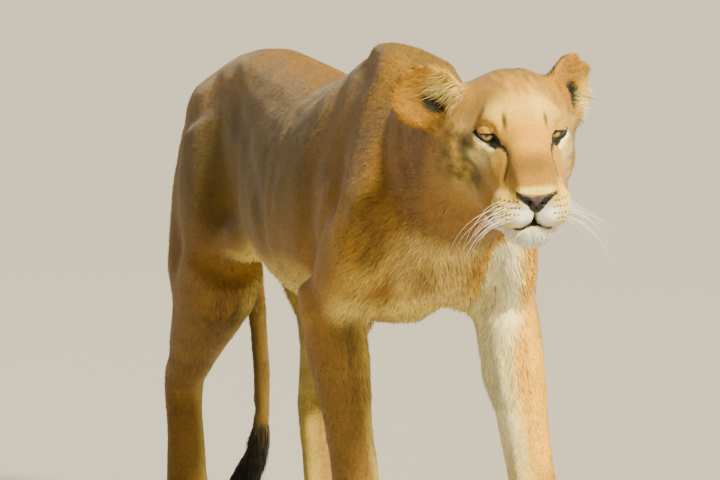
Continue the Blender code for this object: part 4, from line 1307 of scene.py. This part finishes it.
def region(places, local):
    """The number of each place's region, as REGIONS names them."""
    x, y, z = places.T
    ahead, aside, up = local[:, 0], np.abs(local[:, 1]), local[:, 2]
    in_face = (ahead > -0.16) & (np.abs(up) < 0.25) & (aside < 0.22)
    neck = (y < -0.38) & (z > 0.48) & ~in_face
    tail = (y > 0.76) & (np.abs(x - 0.05) < 0.14)
    legs = (z < 0.48) & ~tail
    return np.select([in_face, neck, tail, legs & (y < 0.1), legs], [0, 1, 2, 3, 4], 5 + (x > 0))


REGIONS = ["head", "neck", "tail", "forelegs", "hind_legs", "right_side", "left_side"]
HEAD_TONE, BODY_TONE = 0.16, 0.11  # how much neighbouring tufts differ
kinds = region(roots[0], seen_from(HEAD, roots[0]))
for kind, word in enumerate(REGIONS):
    own = tuple(values[kinds == kind] for values in roots)
    lengths = coat_lengths(own[0], seen_from(HEAD, own[0]))
    widths = 0.00040 + lengths * 0.062
    lifts = np.full(len(lengths), math.radians(13))
    tone = HEAD_TONE if word == "head" else BODY_TONE
    tuft_pieces("coat_" + word, own, lengths, widths, lifts, 0.0, 1, tone, 1.15)

# The ears' front is furred most along its rim, with a pale fringe on each margin beside the hollow.
ear_hair = np.zeros(len(middles))
fringe_hair = np.zeros(len(middles))
for name, side in (("ear_left", 1), ("ear_right", -1)):
    ear = seen_from(ear_frame(name), middles)
    front = facing @ ear_way(name, (1, 0, 0))
    rim = np.hypot(ear[:, 1] / 0.056, (ear[:, 2] - 0.056) / 0.056)
    on_ear = (rim < 1.15) & (np.abs(ear[:, 0]) < 0.05) & (ear[:, 2] > 0.004)
    outer = rise(ear[:, 1] * side, -0.02, 0.03)
    inner = rise(-ear[:, 1] * side, -0.01, 0.02) * rise(-ear[:, 2], -0.06, -0.02)
    place_share = 0.10 + rise(rim, 0.5, 0.95) * np.maximum(outer, 0.25) + 0.9 * inner
    ear_hair = np.maximum(ear_hair, on_ear * place_share * (front > 0.1))
    margin = rise(ear[:, 1], 0.006, 0.018) * rise(-ear[:, 2], -0.062, -0.042) * (ear[:, 2] > 0.006)
    near = (np.abs(ear[:, 0]) < 0.05) & (np.abs(ear[:, 1]) < 0.07)
    fringe_hair = np.maximum(fringe_hair, margin * near * (front > -0.1))
chin_hair = (ahead > 0.03) * rise(-up, 0.118, 0.132) * (aside < 0.09) * (up > -0.2)
cheek_hair = both(local, (-0.09, 0.10, -0.06), (0.10, 0.06, 0.10)) * (aside > 0.05)
throat_hair = blob(middles, (-0.01, -0.46, 0.66), (0.22, 0.24, 0.20)) * (ahead < -0.06)
throat_hair = throat_hair * rise(-facing[:, 2] - facing[:, 1], -0.1, 0.5)
trunk = (z > 0.42) & (z < 0.66) & (y > -0.38) & (y < 0.50)
belly_hair = trunk * rise(-facing[:, 2], 0.25, 0.8)
fore = (y < 0.1) & (z > 0.30) & (z < 0.60)
hind = (y > 0.35) & (y < 0.74) & (z > 0.33) & (z < 0.78)
leg_hair = (fore | hind) * rise(facing[:, 1], 0.35, 0.9)
tail_hair = rise(blob(middles, TUFT_MIDDLE, (0.13, 0.13, 0.13)), 0.02, 0.3)
tail_hair = tail_hair * rise(TUFT_HIGH[2] - z, -0.01, 0.05)

# The hair of each ear's pale margin: over the hollow on her right, out and down on her left.
FRINGE = colour(250, 216, 130)
FRINGE_WAYS = {"ear_right": (0.5, -0.7, 0.5), "ear_left": (0.3, 0.8, -0.25)}
LOCKS = {  # where, how many, length, width, lift in degrees, droop, tint, slot
    "ears": (ear_hair, 3800, 0.016, 0.00065, 22, 0.0, None, "tawny_coat"),
    "fringes": (fringe_hair, 520, 0.024, 0.0008, 24, 0.0, FRINGE, "tawny_coat"),
    "chin": (chin_hair, 2200, 0.013, 0.0012, 30, 0.6, WHITE, "tawny_coat"),
    "cheeks": (cheek_hair, 2600, 0.013, 0.0010, 13, 0.1, None, "tawny_coat"),
    "throat": (throat_hair, 4200, 0.020, 0.0018, 16, 0.3, None, "tawny_coat"),
    "belly": (belly_hair, 3000, 0.020, 0.0018, 18, 0.3, None, "tawny_coat"),
    "legs": (leg_hair, 2600, 0.015, 0.0016, 17, 0.2, None, "tawny_coat"),
    "tail": (tail_hair, 2400, 0.040, 0.0026, 14, 0.3, BLACK, "dark_tuft"),
}
LOCK_TONE, LOCK_TIP = 0.10, 1.1
for word, (density, count, length, width, lift, droop, tint, slot) in LOCKS.items():
    roots = roots_on_hide(density, count)
    if word == "fringes":
        for name, way in FRINGE_WAYS.items():
            mine = np.linalg.norm(seen_from(ear_frame(name), roots[0]), axis=1) < 0.12
            roots[2][mine] = ear_way(name, way)
        outs = roots[1]
        roots[2][:] = unit(roots[2] - outs * (roots[2] * outs).sum(axis=1)[:, None])
    lengths, widths, lifts = (np.full(len(roots[0]), value) for value in (length, width, math.radians(lift)))
    tuft_pieces("locks_" + word, roots, lengths, widths, lifts, droop, 2, LOCK_TONE, LOCK_TIP, tint)
